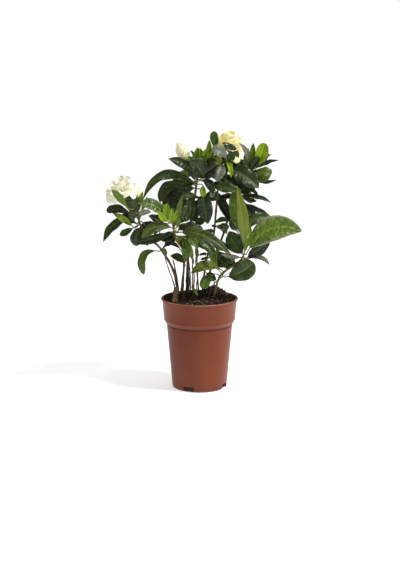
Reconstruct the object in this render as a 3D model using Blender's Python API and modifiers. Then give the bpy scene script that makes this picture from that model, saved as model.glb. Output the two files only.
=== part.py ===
"""A potted gardenia: a leafy shrub in a tapered nursery pot, in flower and in bud.

Metres, +Z up. The origin is the centre of the pot's underside, on the surface it stands on.
The plant's front faces -Y. The tables below are in millimetres.
"""

import math

import bmesh
import bpy
from mathutils import Vector

MM = 0.001
GAP = 0.4  # clearance between neighbouring pieces, mm

# Pot
POT_HEIGHT = 154.0
LIP_RADIUS = 65.0
LIP_HEIGHT = 3.0
BAND_TOP_RADIUS = 62.6
BAND_FOOT_RADIUS = 60.1
BAND_FOOT_Z = 117.0
BODY_TOP_RADIUS = 55.6
BODY_TOP_Z = 109.0
BODY_FOOT_RADIUS = 46.4
WALL = 1.6
FLOOR_TOP_Z = 4.5
FOOT_RECESS_Z = 2.5
PAD_RADIUS = 16.0
POT_SEGMENTS = 40
DRAIN_COUNT = 4
DRAIN_WIDTH = 19.5
DRAIN_HEIGHT = 9.0
DRAIN_DEPTH = 12.0
DRAIN_CORNER = 1.5
DRAIN_FIRST_ANGLE = -113.6  # degrees from +X, so that one slot is just left of the front

# Soil
SOIL_EDGE_Z = 148.0
MOUND_CENTRE = (26.0, 26.0)
MOUND_HEIGHT = 15.0
MOUND_SPREAD = 21.0
SOIL_SWELL = 5.0
SOIL_REACH = 61.0  # the lumps die out before this radius
ROOT_HOLE_DEPTH = 60.0

# Leaves
LEAF_THICKNESS = 0.8
LEAF_STEPS = 8
LEAF_ACROSS = 2
LEAF_FOLD = 0.22  # how far the edges rise over the midrib, as a part of the half width
PETIOLE_HALF_WIDTH = 1.1
TIP_HALF_WIDTH = 0.35

# Canes: name, foot radius, top radius, points from the buried foot to the top
CANES = [
    ("cane_left", 2.2, 1.7, [(-34, -15, 132), (-36, -15, 164), (-44, -15, 204), (-64, -18, 240),
                             (-79, -20, 256), (-91, -22, 271), (-101, -26, 293), (-101, -28, 322)]),
    ("cane_centre_left", 1.9, 1.6, [(-30, -4, 132), (-30, -5, 169), (-26, -10, 211), (-28, -16, 238),
                                    (-38, -23, 256), (-42, -27, 270), (-44, -31, 286)]),
    ("cane_main", 2.6, 2.0, [(-20, 14, 132), (-21, 13, 169), (-20, 10, 204), (-18, 8, 244),
                             (-12, 4, 304), (-6, -2, 339), (-4, -5, 372)]),
    ("cane_upper", 1.9, 1.6, [(4, 8, 132), (6, 8, 174), (12, 10, 218), (23, 13, 254), (28, 14, 304),
                              (31, 12, 340), (36, 11, 370), (43, 13, 396)]),
    ("cane_top_right", 2.1, 1.7, [(15, 20, 138), (16, 20, 184), (27, 22, 225), (38, 24, 252), (46, 24, 278),
                                  (50, 22, 304), (61, 18, 338), (77, 14, 354), (88, 10, 367)]),
    ("branch_right", 1.9, 1.6, [(24, -8, 136), (25, -9, 162), (35, -12, 194), (54, -20, 211), (71, -27, 227),
                                (76, -29, 244)]),
    ("twig_left", 1.4, 1.1, [(-36, 6, 132), (-36, 6, 169), (-41, 4, 202), (-45, 0, 218)]),
    ("twig_front", 1.3, 1.0, [(-11, -18, 132), (-10, -18, 169), (-9, -17, 196), (-12, -16, 210),
                              (-10, -15, 221), (-17, -14, 238)]),
    ("twig_middle", 1.5, 1.1, [(-2, -4, 132), (-2, -4, 169), (-4, -5, 197), (-6, -6, 217), (-4, -7, 236)]),
]
STUMP = ("cut_stump", 4.2, [(-42, -34, 134), (-41, -34, 156), (-38, -33, 178)])

# Leaves: name, slot, width, base, middle, tip, and the way that the upper side faces
LEAVES = [
    # the left shoot, below and beside the white bloom
    ("leaf_left_1", "leaf_mid", 12, (-115, -50, 313), (-129, -68, 332), (-141, -80, 349), (0.3, -1, 0.4)),
    ("leaf_left_2", "leaf_dark", 24, (-108, -30, 296), (-109, -39, 316), (-114, -44, 335), (0.1, -1, 0.3)),
    ("leaf_left_3", "leaf_dark", 16, (-110, -27, 296), (-132, -33, 310), (-152, -40, 306), (-0.1, -1, 0.7)),
    ("leaf_left_4", "leaf_young", 11, (-108, -28, 278), (-124, -34, 293), (-142, -38, 304), (0.2, -1, 0.5)),
    ("leaf_left_5", "leaf_mid", 16, (-113, -26, 296), (-141, -29, 280), (-159, -34, 255), (-0.3, -1, 0.4)),
    ("leaf_left_6", "leaf_dark", 20, (-84, -17, 274), (-101, -14, 265), (-106, -8, 244), (-0.3, -1, 0.4)),
    # the crown, round the main cane
    ("leaf_crown_1", "leaf_dark", 17, (-7, -8, 348), (-58, -24, 362), (-93, -30, 325), (-0.1, -1, 0.5)),
    ("leaf_crown_2", "leaf_dark", 18, (-16, 2, 347), (-54, 12, 342), (-66, 18, 313), (-0.3, -1, 0.4)),
    ("leaf_crown_3", "leaf_dark", 17, (-3, -6, 353), (-21, -22, 378), (-51, -32, 393), (-0.1, -1, 0.4)),
    ("leaf_crown_4", "leaf_dark", 33, (6, -8, 353), (1, -28, 374), (-17, -40, 391), (0, -1, 0.5)),
    # round the upper cane, in front of the yellow bloom
    ("leaf_top_1", "leaf_mid", 14, (29, 4, 400), (26, 1, 419), (23, -1, 435), (0, -1, 0.1)),
    ("leaf_top_2", "leaf_grey", 19, (45, -5, 386), (37, -18, 403), (20, -21, 406), (0, -1, 0.4)),
    ("leaf_top_3", "leaf_dark", 16, (63, 7, 378), (55, 0, 399), (38, -5, 417), (0.1, -1, 0.3)),
    ("leaf_top_4", "leaf_dark", 33, (44, 4, 373), (72, -6, 362), (98, -12, 342), (0.2, -1, 0.4)),
    ("leaf_top_5", "leaf_dark", 19, (16, 2, 350), (40, -14, 346), (70, -20, 338), (0, -1, 0.6)),
    # the top right shoot
    ("leaf_tip_1", "leaf_young", 21, (90, 4, 373), (99, 0, 392), (108, 3, 415), (0.1, -1, 0.1)),
    ("leaf_tip_2", "leaf_dark", 9, (92, 14, 370), (111, 12, 382), (132, 8, 386), (0, -0.8, 0.9)),
    ("leaf_tip_3", "leaf_mid", 17, (88, 4, 365), (104, -4, 369), (120, -6, 366), (0.1, -1, 0.6)),
    # the right side
    ("leaf_right_1", "leaf_dark", 16, (24, 20, 338), (39, 20, 307), (56, 13, 276), (0.2, -1, 0)),
    ("leaf_right_2", "leaf_olive", 18, (74, -35, 240), (74, -40, 295), (61, -34, 350), (0.1, -1, 0.2)),
    ("leaf_right_3", "leaf_mid", 20, (72, -25, 257), (60, -20, 307), (60, -16, 346), (0, -1, 0.1)),
    ("leaf_right_4", "leaf_glossy", 40, (77, -29, 233), (117, -44, 275), (168, -44, 275), (-0.1, -1, 0.4)),
    ("leaf_right_5", "leaf_dark", 19, (76, -23, 225), (96, -20, 236), (117, -16, 252), (0.2, -1, 0.2)),
    ("leaf_right_6", "leaf_mid", 33, (43, -18, 193), (67, -32, 204), (90, -40, 222), (0.1, -1, 0.2)),
    ("leaf_right_7", "leaf_dark", 29, (74, -24, 230), (61, -16, 249), (49, -8, 269), (-0.2, -1, 0.3)),
    # the middle, low down
    ("leaf_mid_1", "leaf_glossy", 21, (-50, -34, 295), (-73, -44, 318), (-101, -46, 322), (-0.2, -0.9, 0.7)),
    ("leaf_mid_2", "leaf_olive", 18, (-41, -36, 277), (-70, -44, 281), (-95, -52, 264), (-0.1, -0.9, 0.7)),
    ("leaf_mid_3", "leaf_mid", 15, (-66, -19, 237), (-92, -22, 230), (-93, -24, 198), (-0.4, -1, 0.3)),
    ("leaf_mid_4", "leaf_dark", 23, (-9, -4, 331), (-17, -10, 310), (-23, -10, 285), (0, -1, 0.2)),
    ("leaf_mid_5", "leaf_dark", 26, (7, -5, 338), (9, -16, 313), (14, -12, 282), (0.1, -1, 0.2)),
    ("leaf_mid_6", "leaf_olive", 17, (-39, -31, 270), (11, -53, 270), (55, -60, 233), (0, -1, 0.5)),
    ("leaf_mid_7", "leaf_mid", 18, (-24, -17, 262), (6, -34, 254), (27, -42, 223), (0.1, -1, 0.5)),
    ("leaf_mid_8", "leaf_olive", 17, (36, -16, 205), (12, -36, 215), (-14, -42, 204), (0, -1, 0.5)),
    # the far side
    ("leaf_back_1", "leaf_dark", 24, (-14, 15, 245), (-18, 48, 248), (-15, 82, 238), (0, 0.5, 1)),
    ("leaf_back_2", "leaf_dark", 26, (-8, 8, 319), (-25, 44, 324), (-35, 80, 312), (0, 0.5, 1)),
    ("leaf_back_3", "leaf_dark", 24, (33, 16, 350), (45, 44, 351), (56, 78, 342), (0, 0.5, 1)),
    ("leaf_back_4", "leaf_dark", 24, (50, 28, 294), (57, 56, 291), (63, 88, 274), (0, 0.5, 1)),
]

# Tufts of young leaves: name, foot and top of the short stem that joins them, and its leaves
TUFTS = [
    ("tuft_crown", (2, -8, 370), (5, -8, 386), [
        (12, (3, -8, 378), (-4, -10, 396), (-4, -11, 411)),
        (12, (4, -8, 380), (6, -14, 394), (4, -13, 408)),
        (12, (4, -8, 382), (13, -12, 395), (17, -10, 408)),
        (10, (4, -8, 382), (13, -2, 400), (17, -1, 422)),
        (10, (3, -8, 378), (-6, -4, 390), (-12, -2, 403)),
    ]),
    ("tuft_top_right", (88, 9, 371), (88, 8, 382), [
        (10, (88, 8, 378), (85, 6, 395), (89, 6, 413)),
        (8, (88, 9, 378), (82, 12, 392), (79, 13, 406)),
        (8, (88, 8, 378), (79, 4, 397), (66, 0, 414)),
    ]),
]
TUFT_STEM_RADIUS = 2.4

# Blooms as nested ruffled cups: name, slot, centre, axis, rim radius, depth, lobes, turn in degrees
CUPS = [
    ("white_bloom_outer", "petal_white", (-126, -42, 344), (-0.35, -0.55, 1), 23, 12, 7, 0),
    ("white_bloom_middle", "petal_white", (-127, -44, 348), (-0.35, -0.55, 1), 16, 13, 6, 25),
    ("white_bloom_heart", "petal_white", (-128, -46, 352), (-0.35, -0.55, 1), 9, 10, 5, 50),
    ("yellow_bloom_outer", "petal_yellow", (47, 26, 401), (0.35, -0.15, 1), 21, 19, 6, 10),
    ("yellow_bloom_heart", "petal_yellow", (48, 26, 406), (0.35, -0.15, 1), 13, 17, 5, 40),
]
CUP_THICKNESS = 0.9
CUP_RINGS = 4
CUP_SEGMENTS = 21

# Buds as turned ovoids: name, slot, foot, tip, greatest radius
BUDS = [
    ("cream_bud", "petal_cream", (-21, -10, 391), (-36, -13, 419), 9.5),
    ("yellow_bud", "petal_yellow", (-103, -31, 328), (-100, -34, 349), 6),
]
BUD_SEGMENTS = 16

# Flower stalks, which widen into the green calyx: name, points and their radii
STALKS = [
    ("cream_bud_stalk", [(-4, -7, 376), (-12, -9, 380), (-17, -9.5, 384), (-20.6, -10, 390)], [1.3, 1.4, 3.2, 4.6]),
    ("white_bloom_stalk", [(-105, -31, 326), (-114, -36, 330), (-121, -40, 335), (-125, -41, 341)],
     [1.2, 1.5, 3.0, 4.2]),
]

# Slots: colour, roughness
MATERIALS = {
    "pot_plastic": ((0.245, 0.075, 0.042), 0.45),
    "soil": ((0.022, 0.013, 0.008), 0.95),
    "bark": ((0.085, 0.045, 0.024), 0.8),
    "leaf_dark": ((0.022, 0.040, 0.014), 0.32),
    "leaf_mid": ((0.045, 0.095, 0.015), 0.32),
    "leaf_olive": ((0.110, 0.150, 0.045), 0.4),
    "leaf_glossy": ((0.090, 0.210, 0.020), 0.25),
    "leaf_young": ((0.190, 0.330, 0.020), 0.35),
    "leaf_grey": ((0.110, 0.130, 0.110), 0.45),
    "calyx": ((0.100, 0.180, 0.025), 0.4),
    "petal_white": ((0.780, 0.770, 0.640), 0.6),
    "petal_yellow": ((0.800, 0.720, 0.320), 0.6),
    "petal_cream": ((0.780, 0.740, 0.500), 0.5),
}


def clear_scene():
    for obj in list(bpy.data.objects):
        bpy.data.objects.remove(obj, do_unlink=True)


def new_collection(name):
    collection = bpy.data.collections.new(name)
    bpy.context.scene.collection.children.link(collection)
    return collection


def new_material(name, colour, roughness):
    material = bpy.data.materials.new(name)
    material.use_nodes = True
    shader = material.node_tree.nodes["Principled BSDF"]
    shader.inputs["Base Color"].default_value = (*colour, 1)
    shader.inputs["Roughness"].default_value = roughness
    shader.inputs["Metallic"].default_value = 0
    material.diffuse_color = (*colour, 1)
    return material


def add_object(name, data, slot, collection, location=(0, 0, 0)):
    obj = bpy.data.objects.new(name, data)
    obj.location = Vector(location) * MM
    obj.data.materials.append(bpy.data.materials[slot])
    collection.objects.link(obj)
    if collection is cutters:
        obj.hide_render = True
        obj.display_type = "WIRE"
    return obj


def mesh_from(bm, name, smooth=True):
    mesh = bpy.data.meshes.new(name)
    bm.to_mesh(mesh)
    bm.free()
    if smooth:
        mesh.shade_smooth()
    return mesh


def boolean(obj, other, operation):
    modifier = obj.modifiers.new(other.name, "BOOLEAN")
    modifier.operation = operation
    modifier.object = other


# ---- turned pieces ----


def turned(name, profile, slot, collection, segments):
    """A solid turned about its own Z axis from (radius, height) points, which run down its outer side."""
    bm = bmesh.new()
    corners = [bm.verts.new((radius * MM, 0, height * MM)) for radius, height in profile]
    for upper, lower in zip(corners, corners[1:]):
        bm.edges.new((upper, lower))
    obj = add_object(name, mesh_from(bm, name, smooth=False), slot, collection)
    screw = obj.modifiers.new("Turn", "SCREW")
    screw.steps = screw.render_steps = segments
    screw.use_merge_vertices = True
    screw.merge_threshold = 0.00001
    screw.use_smooth_shade = True
    return obj


def pot_profile():
    top = POT_HEIGHT
    inner_foot = BODY_FOOT_RADIUS - WALL - 0.4
    return [
        (0, FLOOR_TOP_Z),
        (inner_foot - 2, FLOOR_TOP_Z),
        (inner_foot, FLOOR_TOP_Z + 2),
        (BODY_TOP_RADIUS - WALL, BODY_TOP_Z),
        (BAND_FOOT_RADIUS - WALL, BAND_FOOT_Z),
        (BAND_TOP_RADIUS - WALL, top - 1.5),
        (BAND_TOP_RADIUS - WALL + 1, top),
        (LIP_RADIUS - 0.7, top),
        (LIP_RADIUS, top - 0.7),
        (LIP_RADIUS, top - LIP_HEIGHT + 0.5),
        (LIP_RADIUS - 0.6, top - LIP_HEIGHT),
        (BAND_TOP_RADIUS, top - LIP_HEIGHT - 0.2),
        (BAND_FOOT_RADIUS + 0.1, BAND_FOOT_Z + 1),
        (BAND_FOOT_RADIUS - 0.6, BAND_FOOT_Z - 0.6),
        (BODY_TOP_RADIUS + 0.5, BODY_TOP_Z + 0.6),
        (BODY_TOP_RADIUS - 0.1, BODY_TOP_Z - 1),
        (BODY_FOOT_RADIUS + 0.7, DRAIN_HEIGHT + 3),
        (BODY_FOOT_RADIUS, 4),
        (BODY_FOOT_RADIUS - 1.1, 1.1),
        (BODY_FOOT_RADIUS - 2.8, 0),
        (BODY_FOOT_RADIUS - 6.2, 0),
        (BODY_FOOT_RADIUS - 7.2, FOOT_RECESS_Z),
        (PAD_RADIUS + 1, FOOT_RECESS_Z),
        (PAD_RADIUS, 0),
        (0, 0),
    ]


def make_pot():
    pot = turned("pot", pot_profile(), "pot_plastic", parts, POT_SEGMENTS)
    for number in range(DRAIN_COUNT):
        angle = math.radians(DRAIN_FIRST_ANGLE + 360 * number / DRAIN_COUNT)
        bm = bmesh.new()
        bmesh.ops.create_cube(bm, size=MM)
        bmesh.ops.scale(bm, verts=bm.verts, vec=(DRAIN_DEPTH, DRAIN_WIDTH, 2 * DRAIN_HEIGHT))
        bmesh.ops.bevel(bm, geom=bm.edges[:], offset=DRAIN_CORNER * MM, segments=2, affect="EDGES", profile=0.5)
        middle = BODY_FOOT_RADIUS - DRAIN_DEPTH / 6
        at = (middle * math.cos(angle), middle * math.sin(angle), 0)
        slot_cutter = add_object(f"drain_cutter_{number + 1}", mesh_from(bm, "drain_cutter"), "pot_plastic",
                                 cutters, at)
        slot_cutter.rotation_euler.z = angle
        boolean(pot, slot_cutter, "DIFFERENCE")


def soil_height(x, y):
    """How far the compost's surface stands over its level at the pot's wall, mm."""
    radius = math.hypot(x, y)
    swell = SOIL_SWELL * max(0.0, 1 - (radius / SOIL_REACH) ** 2)
    away = math.hypot(x - MOUND_CENTRE[0], y - MOUND_CENTRE[1]) / MOUND_SPREAD
    mound = MOUND_HEIGHT * math.exp(-away * away)
    lumps = 1.1 * math.sin(x / 5.3 + 1.7) * math.cos(y / 6.1) + 0.7 * math.sin(x / 2.9 - y / 3.7)
    return (swell + mound + lumps) * min(1.0, (SOIL_REACH - radius) / 12)


def make_soil():
    """The compost with the root ball: a turned solid whose top is then raised into a mound."""
    band = BAND_TOP_RADIUS - WALL - 1.2
    edge = (SOIL_EDGE_Z - BAND_FOOT_Z) / (POT_HEIGHT - 1.5 - BAND_FOOT_Z)
    edge_radius = BAND_FOOT_RADIUS - WALL + edge * (BAND_TOP_RADIUS - BAND_FOOT_RADIUS) - GAP
    profile = [(radius, SOIL_EDGE_Z) for radius in (0, 9, 18, 27, 36, 45, 53)] + [
        (min(band, edge_radius), SOIL_EDGE_Z),
        (BAND_FOOT_RADIUS - WALL - GAP, BAND_FOOT_Z),
        (BODY_TOP_RADIUS - WALL - GAP, BODY_TOP_Z),
        (BODY_FOOT_RADIUS - WALL - 1.4, FLOOR_TOP_Z + 3),
        (BODY_FOOT_RADIUS - WALL - 3.4, FLOOR_TOP_Z + GAP),
        (0, FLOOR_TOP_Z + GAP),
    ]
    bm = bmesh.new()
    corners = [bm.verts.new((radius * MM, 0, height * MM)) for radius, height in profile]
    edges = [bm.edges.new(pair) for pair in zip(corners, corners[1:])]
    bmesh.ops.spin(bm, geom=corners + edges, axis=(0, 0, 1), cent=(0, 0, 0), angle=2 * math.pi,
                   steps=POT_SEGMENTS, use_merge=True)
    bmesh.ops.remove_doubles(bm, verts=bm.verts, dist=0.00001)
    bmesh.ops.recalc_face_normals(bm, faces=bm.faces)
    for vert in bm.verts:
        if vert.co.z > (SOIL_EDGE_Z - 0.01) * MM:
            vert.co.z += soil_height(vert.co.x / MM, vert.co.y / MM) * MM
    soil = add_object("soil", mesh_from(bm, "soil"), "soil", parts)
    feet = [(points[0], radius) for _, radius, _, points in CANES] + [(STUMP[2][0], STUMP[1])]
    for number, (foot, radius) in enumerate(feet):
        bm = bmesh.new()
        bmesh.ops.create_cone(bm, cap_ends=True, segments=12, radius1=(radius + 1.6) * MM,
                              radius2=(radius + 3.2) * MM, depth=ROOT_HOLE_DEPTH * MM)
        hole = add_object(f"root_hole_{number + 1}", mesh_from(bm, "root_hole"), "soil", cutters,
                          (foot[0], foot[1], foot[2] + ROOT_HOLE_DEPTH / 2 - 1))
        boolean(soil, hole, "DIFFERENCE")


# ---- canes and stalks ----


def tube(name, points, radii, slot):
    curve = bpy.data.curves.new(name, "CURVE")
    curve.dimensions = "3D"
    curve.bevel_depth = MM
    curve.bevel_resolution = 2
    curve.resolution_u = 2
    curve.use_fill_caps = True
    spline = curve.splines.new("BEZIER")
    spline.bezier_points.add(len(points) - 1)
    for place, point, radius in zip(spline.bezier_points, points, radii):
        place.co = Vector(point) * MM
        place.radius = radius
        place.handle_left_type = place.handle_right_type = "AUTO"
    return add_object(name, curve, slot, parts)


def make_canes():
    for name, foot_radius, top_radius, points in CANES:
        last = len(points) - 1
        radii = [foot_radius + (top_radius - foot_radius) * number / last for number in range(last + 1)]
        tube(name, points, radii, "bark")
    name, radius, points = STUMP
    tube(name, points, [radius, radius, radius * 0.85], "bark")
    for name, points, radii in STALKS:
        tube(name, points, radii, "calyx")


# ---- leaves ----


def half_width(along, width):
    """A gardenia blade's half width: a short stalk, widest past the middle, drawn to a point."""
    start = 0.07
    if along <= start:
        return PETIOLE_HALF_WIDTH
    blade = (along - start) / (1 - start)
    full = 0.5 * width * math.sin(math.pi * blade ** 0.92) ** 0.85 if blade < 1 else 0
    return max(full, PETIOLE_HALF_WIDTH * (1 - blade) + TIP_HALF_WIDTH * blade)


def blade_surface(width, base, middle, tip, face):
    """An open leaf surface, in mm from its base: a flat grid bent along the curve through its three points."""
    start = Vector((0, 0, 0))
    middle = Vector(middle) - Vector(base)
    end = Vector(tip) - Vector(base)
    control = 2 * middle - (start + end) / 2
    bm = bmesh.new()
    bmesh.ops.create_grid(bm, x_segments=LEAF_STEPS, y_segments=LEAF_ACROSS, size=0.5)
    for vert in bm.verts:
        along = vert.co.x + 0.5
        across = vert.co.y * 2
        on_rib = 2 * along * (1 - along) * control + along * along * end
        heading = (2 * (1 - 2 * along) * control + 2 * along * end).normalized()
        side = heading.cross(Vector(face)).normalized()
        up = side.cross(heading)
        reach = half_width(along, width)
        vert.co = (on_rib - across * reach * side + LEAF_FOLD * abs(across) * reach * up) * MM
    return bm


def leaf(name, slot, width, base, middle, tip, face, collection):
    mesh = mesh_from(blade_surface(width, base, middle, tip, face), name)
    obj = add_object(name, mesh, slot, collection, base)
    solidify = obj.modifiers.new("Thickness", "SOLIDIFY")
    solidify.thickness = LEAF_THICKNESS * MM
    solidify.offset = 0
    return obj


def make_leaves():
    for name, slot, width, base, middle, tip, face in LEAVES:
        leaf(name, slot, width, base, middle, tip, face, parts)


def make_tufts():
    """Young leaves that share a short stem: a union of the stem with each blade."""
    for name, foot, top, leaves in TUFTS:
        foot, top = Vector(foot), Vector(top)
        bm = bmesh.new()
        bmesh.ops.create_cone(bm, cap_ends=True, segments=8, radius1=TUFT_STEM_RADIUS * MM,
                              radius2=0.6 * TUFT_STEM_RADIUS * MM, depth=(top - foot).length * MM)
        stem = add_object(name, mesh_from(bm, name), "leaf_young", parts, (foot + top) / 2)
        stem.rotation_mode = "QUATERNION"
        stem.rotation_quaternion = (top - foot).to_track_quat("Z", "Y")
        for number, (width, base, middle, tip) in enumerate(leaves):
            outward = Vector(tip) - (foot + top) / 2
            face = (-0.3 * outward.x, -30, 6)
            blade = leaf(f"{name}_leaf_{number + 1}", "leaf_young", width, base, middle, tip, face, cutters)
            boolean(stem, blade, "UNION")


# ---- flowers ----


def make_cups():
    """Each ring of petals is one ruffled, lobed cup with a small closed foot."""
    for name, slot, centre, axis, radius, depth, lobes, turn in CUPS:
        bm = bmesh.new()
        bmesh.ops.create_circle(bm, cap_ends=False, segments=CUP_SEGMENTS, radius=1)
        ring = bm.edges[:]
        for _ in range(CUP_RINGS - 1):
            grown = bmesh.ops.extrude_edge_only(bm, edges=ring)["geom"]
            ring = [item for item in grown if isinstance(item, bmesh.types.BMEdge) and item.is_boundary]
            for vert in {vert for edge in ring for vert in edge.verts}:
                vert.co *= (vert.co.length + 1) / vert.co.length
        for vert in bm.verts:
            out = vert.co.length / CUP_RINGS
            angle = math.atan2(vert.co.y, vert.co.x) + math.radians(turn)
            lobe = 1 - 0.26 * out * (1 - abs(math.sin(lobes * angle / 2)))
            ruffle = 0.10 * radius * out ** 3 * math.sin(2 * lobes * angle + 1)
            reach = radius * out * lobe
            vert.co = Vector((reach * math.cos(angle), reach * math.sin(angle),
                              depth * out ** 2.2 + ruffle)) * MM
        bmesh.ops.recalc_face_normals(bm, faces=bm.faces)
        obj = add_object(name, mesh_from(bm, name), slot, parts, centre)
        obj.rotation_mode = "QUATERNION"
        obj.rotation_quaternion = Vector(axis).to_track_quat("Z", "Y")
        solidify = obj.modifiers.new("Thickness", "SOLIDIFY")
        solidify.thickness = CUP_THICKNESS * MM
        solidify.offset = 0


def make_buds():
    for name, slot, foot, tip, radius in BUDS:
        foot, tip = Vector(foot), Vector(tip)
        length = (tip - foot).length
        shape = [(0, 1), (0.34, 0.93), (0.62, 0.8), (0.88, 0.6), (1, 0.4), (0.88, 0.2), (0.5, 0.05), (0, 0)]
        profile = [(radius * wide, length * high) for wide, high in shape]
        bud = turned(name, profile, slot, parts, BUD_SEGMENTS)
        bud.location = foot * MM
        bud.rotation_mode = "QUATERNION"
        bud.rotation_quaternion = (tip - foot).to_track_quat("Z", "Y")


clear_scene()
parts = new_collection("potted_gardenia")
cutters = new_collection("cutters")
for slot_name, (slot_colour, slot_roughness) in MATERIALS.items():
    new_material(slot_name, slot_colour, slot_roughness)
make_pot()
make_soil()
make_canes()
make_leaves()
make_tufts()
make_cups()
make_buds()
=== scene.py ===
"""Looks of the potted gardenia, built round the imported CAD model.

Metres, +Z up, the plant's front towards -Y. The tables of stems and leaves are in millimetres.
"""

import math
import random

import bmesh
import bpy
import numpy as np
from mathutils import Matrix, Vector, noise


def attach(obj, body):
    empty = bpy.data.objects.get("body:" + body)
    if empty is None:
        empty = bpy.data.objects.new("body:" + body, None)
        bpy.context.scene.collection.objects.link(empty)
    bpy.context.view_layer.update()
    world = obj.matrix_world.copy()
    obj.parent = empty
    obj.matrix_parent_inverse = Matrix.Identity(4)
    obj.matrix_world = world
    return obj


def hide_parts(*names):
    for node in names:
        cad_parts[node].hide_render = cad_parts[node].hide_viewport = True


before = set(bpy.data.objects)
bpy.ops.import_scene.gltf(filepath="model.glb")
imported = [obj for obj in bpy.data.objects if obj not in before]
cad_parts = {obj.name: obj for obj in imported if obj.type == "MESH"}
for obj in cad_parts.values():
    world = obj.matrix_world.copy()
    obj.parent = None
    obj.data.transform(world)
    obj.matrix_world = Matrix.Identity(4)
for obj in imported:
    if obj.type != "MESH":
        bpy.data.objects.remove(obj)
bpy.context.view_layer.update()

MM = 0.001
ROOT = "root"

# ---------------------------------------------------------------- stems

# name, foot radius, top radius, points from foot to top; each one stands for the CAD node of its name
CANES = [
    ("cane_left", 2.2, 1.6, [(-34, -15, 132), (-36, -15, 164), (-44, -15, 204), (-64, -18, 240),
                             (-79, -20, 256), (-91, -22, 271), (-101, -26, 293), (-100, -28, 330)]),
    ("cane_centre_left", 1.9, 1.5, [(-30, -4, 132), (-30, -5, 169), (-26, -10, 211), (-28, -16, 238),
                                    (-38, -23, 256), (-42, -27, 270), (-45, -32, 292)]),
    ("cane_main", 2.6, 1.8, [(-20, 14, 132), (-21, 13, 169), (-20, 10, 204), (-18, 8, 244),
                             (-12, 4, 304), (-6, -2, 339), (-3, -6, 378)]),
    ("cane_upper", 1.9, 1.5, [(4, 8, 132), (6, 8, 174), (12, 10, 218), (23, 13, 254), (28, 14, 304),
                              (31, 12, 340), (36, 11, 370), (44, 18, 398)]),
    ("cane_top_right", 2.1, 1.6, [(15, 20, 138), (16, 20, 184), (27, 22, 225), (38, 24, 252), (46, 24, 278),
                                  (50, 22, 304), (61, 18, 338), (77, 14, 354), (89, 9, 374)]),
    ("branch_right", 2.0, 1.5, [(24, -8, 136), (25, -9, 162), (35, -12, 194), (54, -20, 211), (71, -27, 227),
                                (77, -30, 250)]),
    ("twig_left", 1.4, 1.1, [(-36, 6, 132), (-36, 6, 169), (-41, 4, 202), (-45, 0, 220)]),
    ("twig_front", 1.3, 1.0, [(-11, -18, 132), (-10, -18, 169), (-9, -17, 196), (-12, -16, 210),
                              (-10, -15, 221), (-18, -14, 240)]),
    ("twig_middle", 1.5, 1.1, [(-2, -4, 132), (-2, -4, 169), (-4, -5, 197), (-6, -6, 217), (-4, -7, 240)]),
]
# small twigs with no CAD node of their own
TWIGS = [
    ("twig_cluster_front", 1.7, 1.2, [(-20, -2, 140), (-18, -3, 180), (-20, -4, 212), (-21, -8, 246)]),
    ("twig_cluster_left", 1.2, 1.0, [(-29, 8, 140), (-27, 6, 180), (-26, 2, 206), (-24, -2, 222)]),
    ("twig_cluster_right", 1.1, 0.8, [(-11, 2, 140), (-12, 2, 182), (-12, 0, 214), (-16, -4, 244)]),
    ("twig_behind_left", 1.3, 0.9, [(-33, 4, 144), (-29, 2, 184), (-25, 2, 214), (-20, 4, 242)]),
    ("twig_behind_main", 1.2, 0.9, [(-15, 4, 144), (-16, 4, 194), (-20, 6, 230)]),
    ("twig_thin_grey", 0.8, 0.6, [(8, 28, 154), (8, 27, 199), (11, 25, 228)]),
    ("twig_tangle_front", 0.8, 0.5, [(12, -18, 150), (20, -20, 176), (34, -22, 192), (44, -24, 204)]),
    ("twig_tangle_back", 0.8, 0.5, [(16, 2, 156), (24, -2, 178), (38, -6, 190), (60, -12, 205)]),
    ("twig_centre_tan", 1.0, 0.7, [(-7, -20, 148), (-5, -20, 178), (-3, -19, 200), (-4, -17, 222)]),
    ("twig_left_dark", 1.1, 0.8, [(-38, 2, 146), (-43, 0, 176), (-52, -4, 204), (-58, -10, 226)]),
    ("twig_edge_left", 0.8, 0.5, [(-44, -20, 149), (-43, -20, 170), (-41, -19, 182)]),
]
STUMP = [(-42, -34, 140), (-41, -34, 158), (-38, -33, 179)]
STUMP_RADIUS = 4.2

# ---------------------------------------------------------------- leaves

# a leaf's facing is the way that its upper side looks; a single number is the rise of one that looks ahead
FRONT = (0, -1)
BACK = (0, 0.5, 1)
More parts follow.
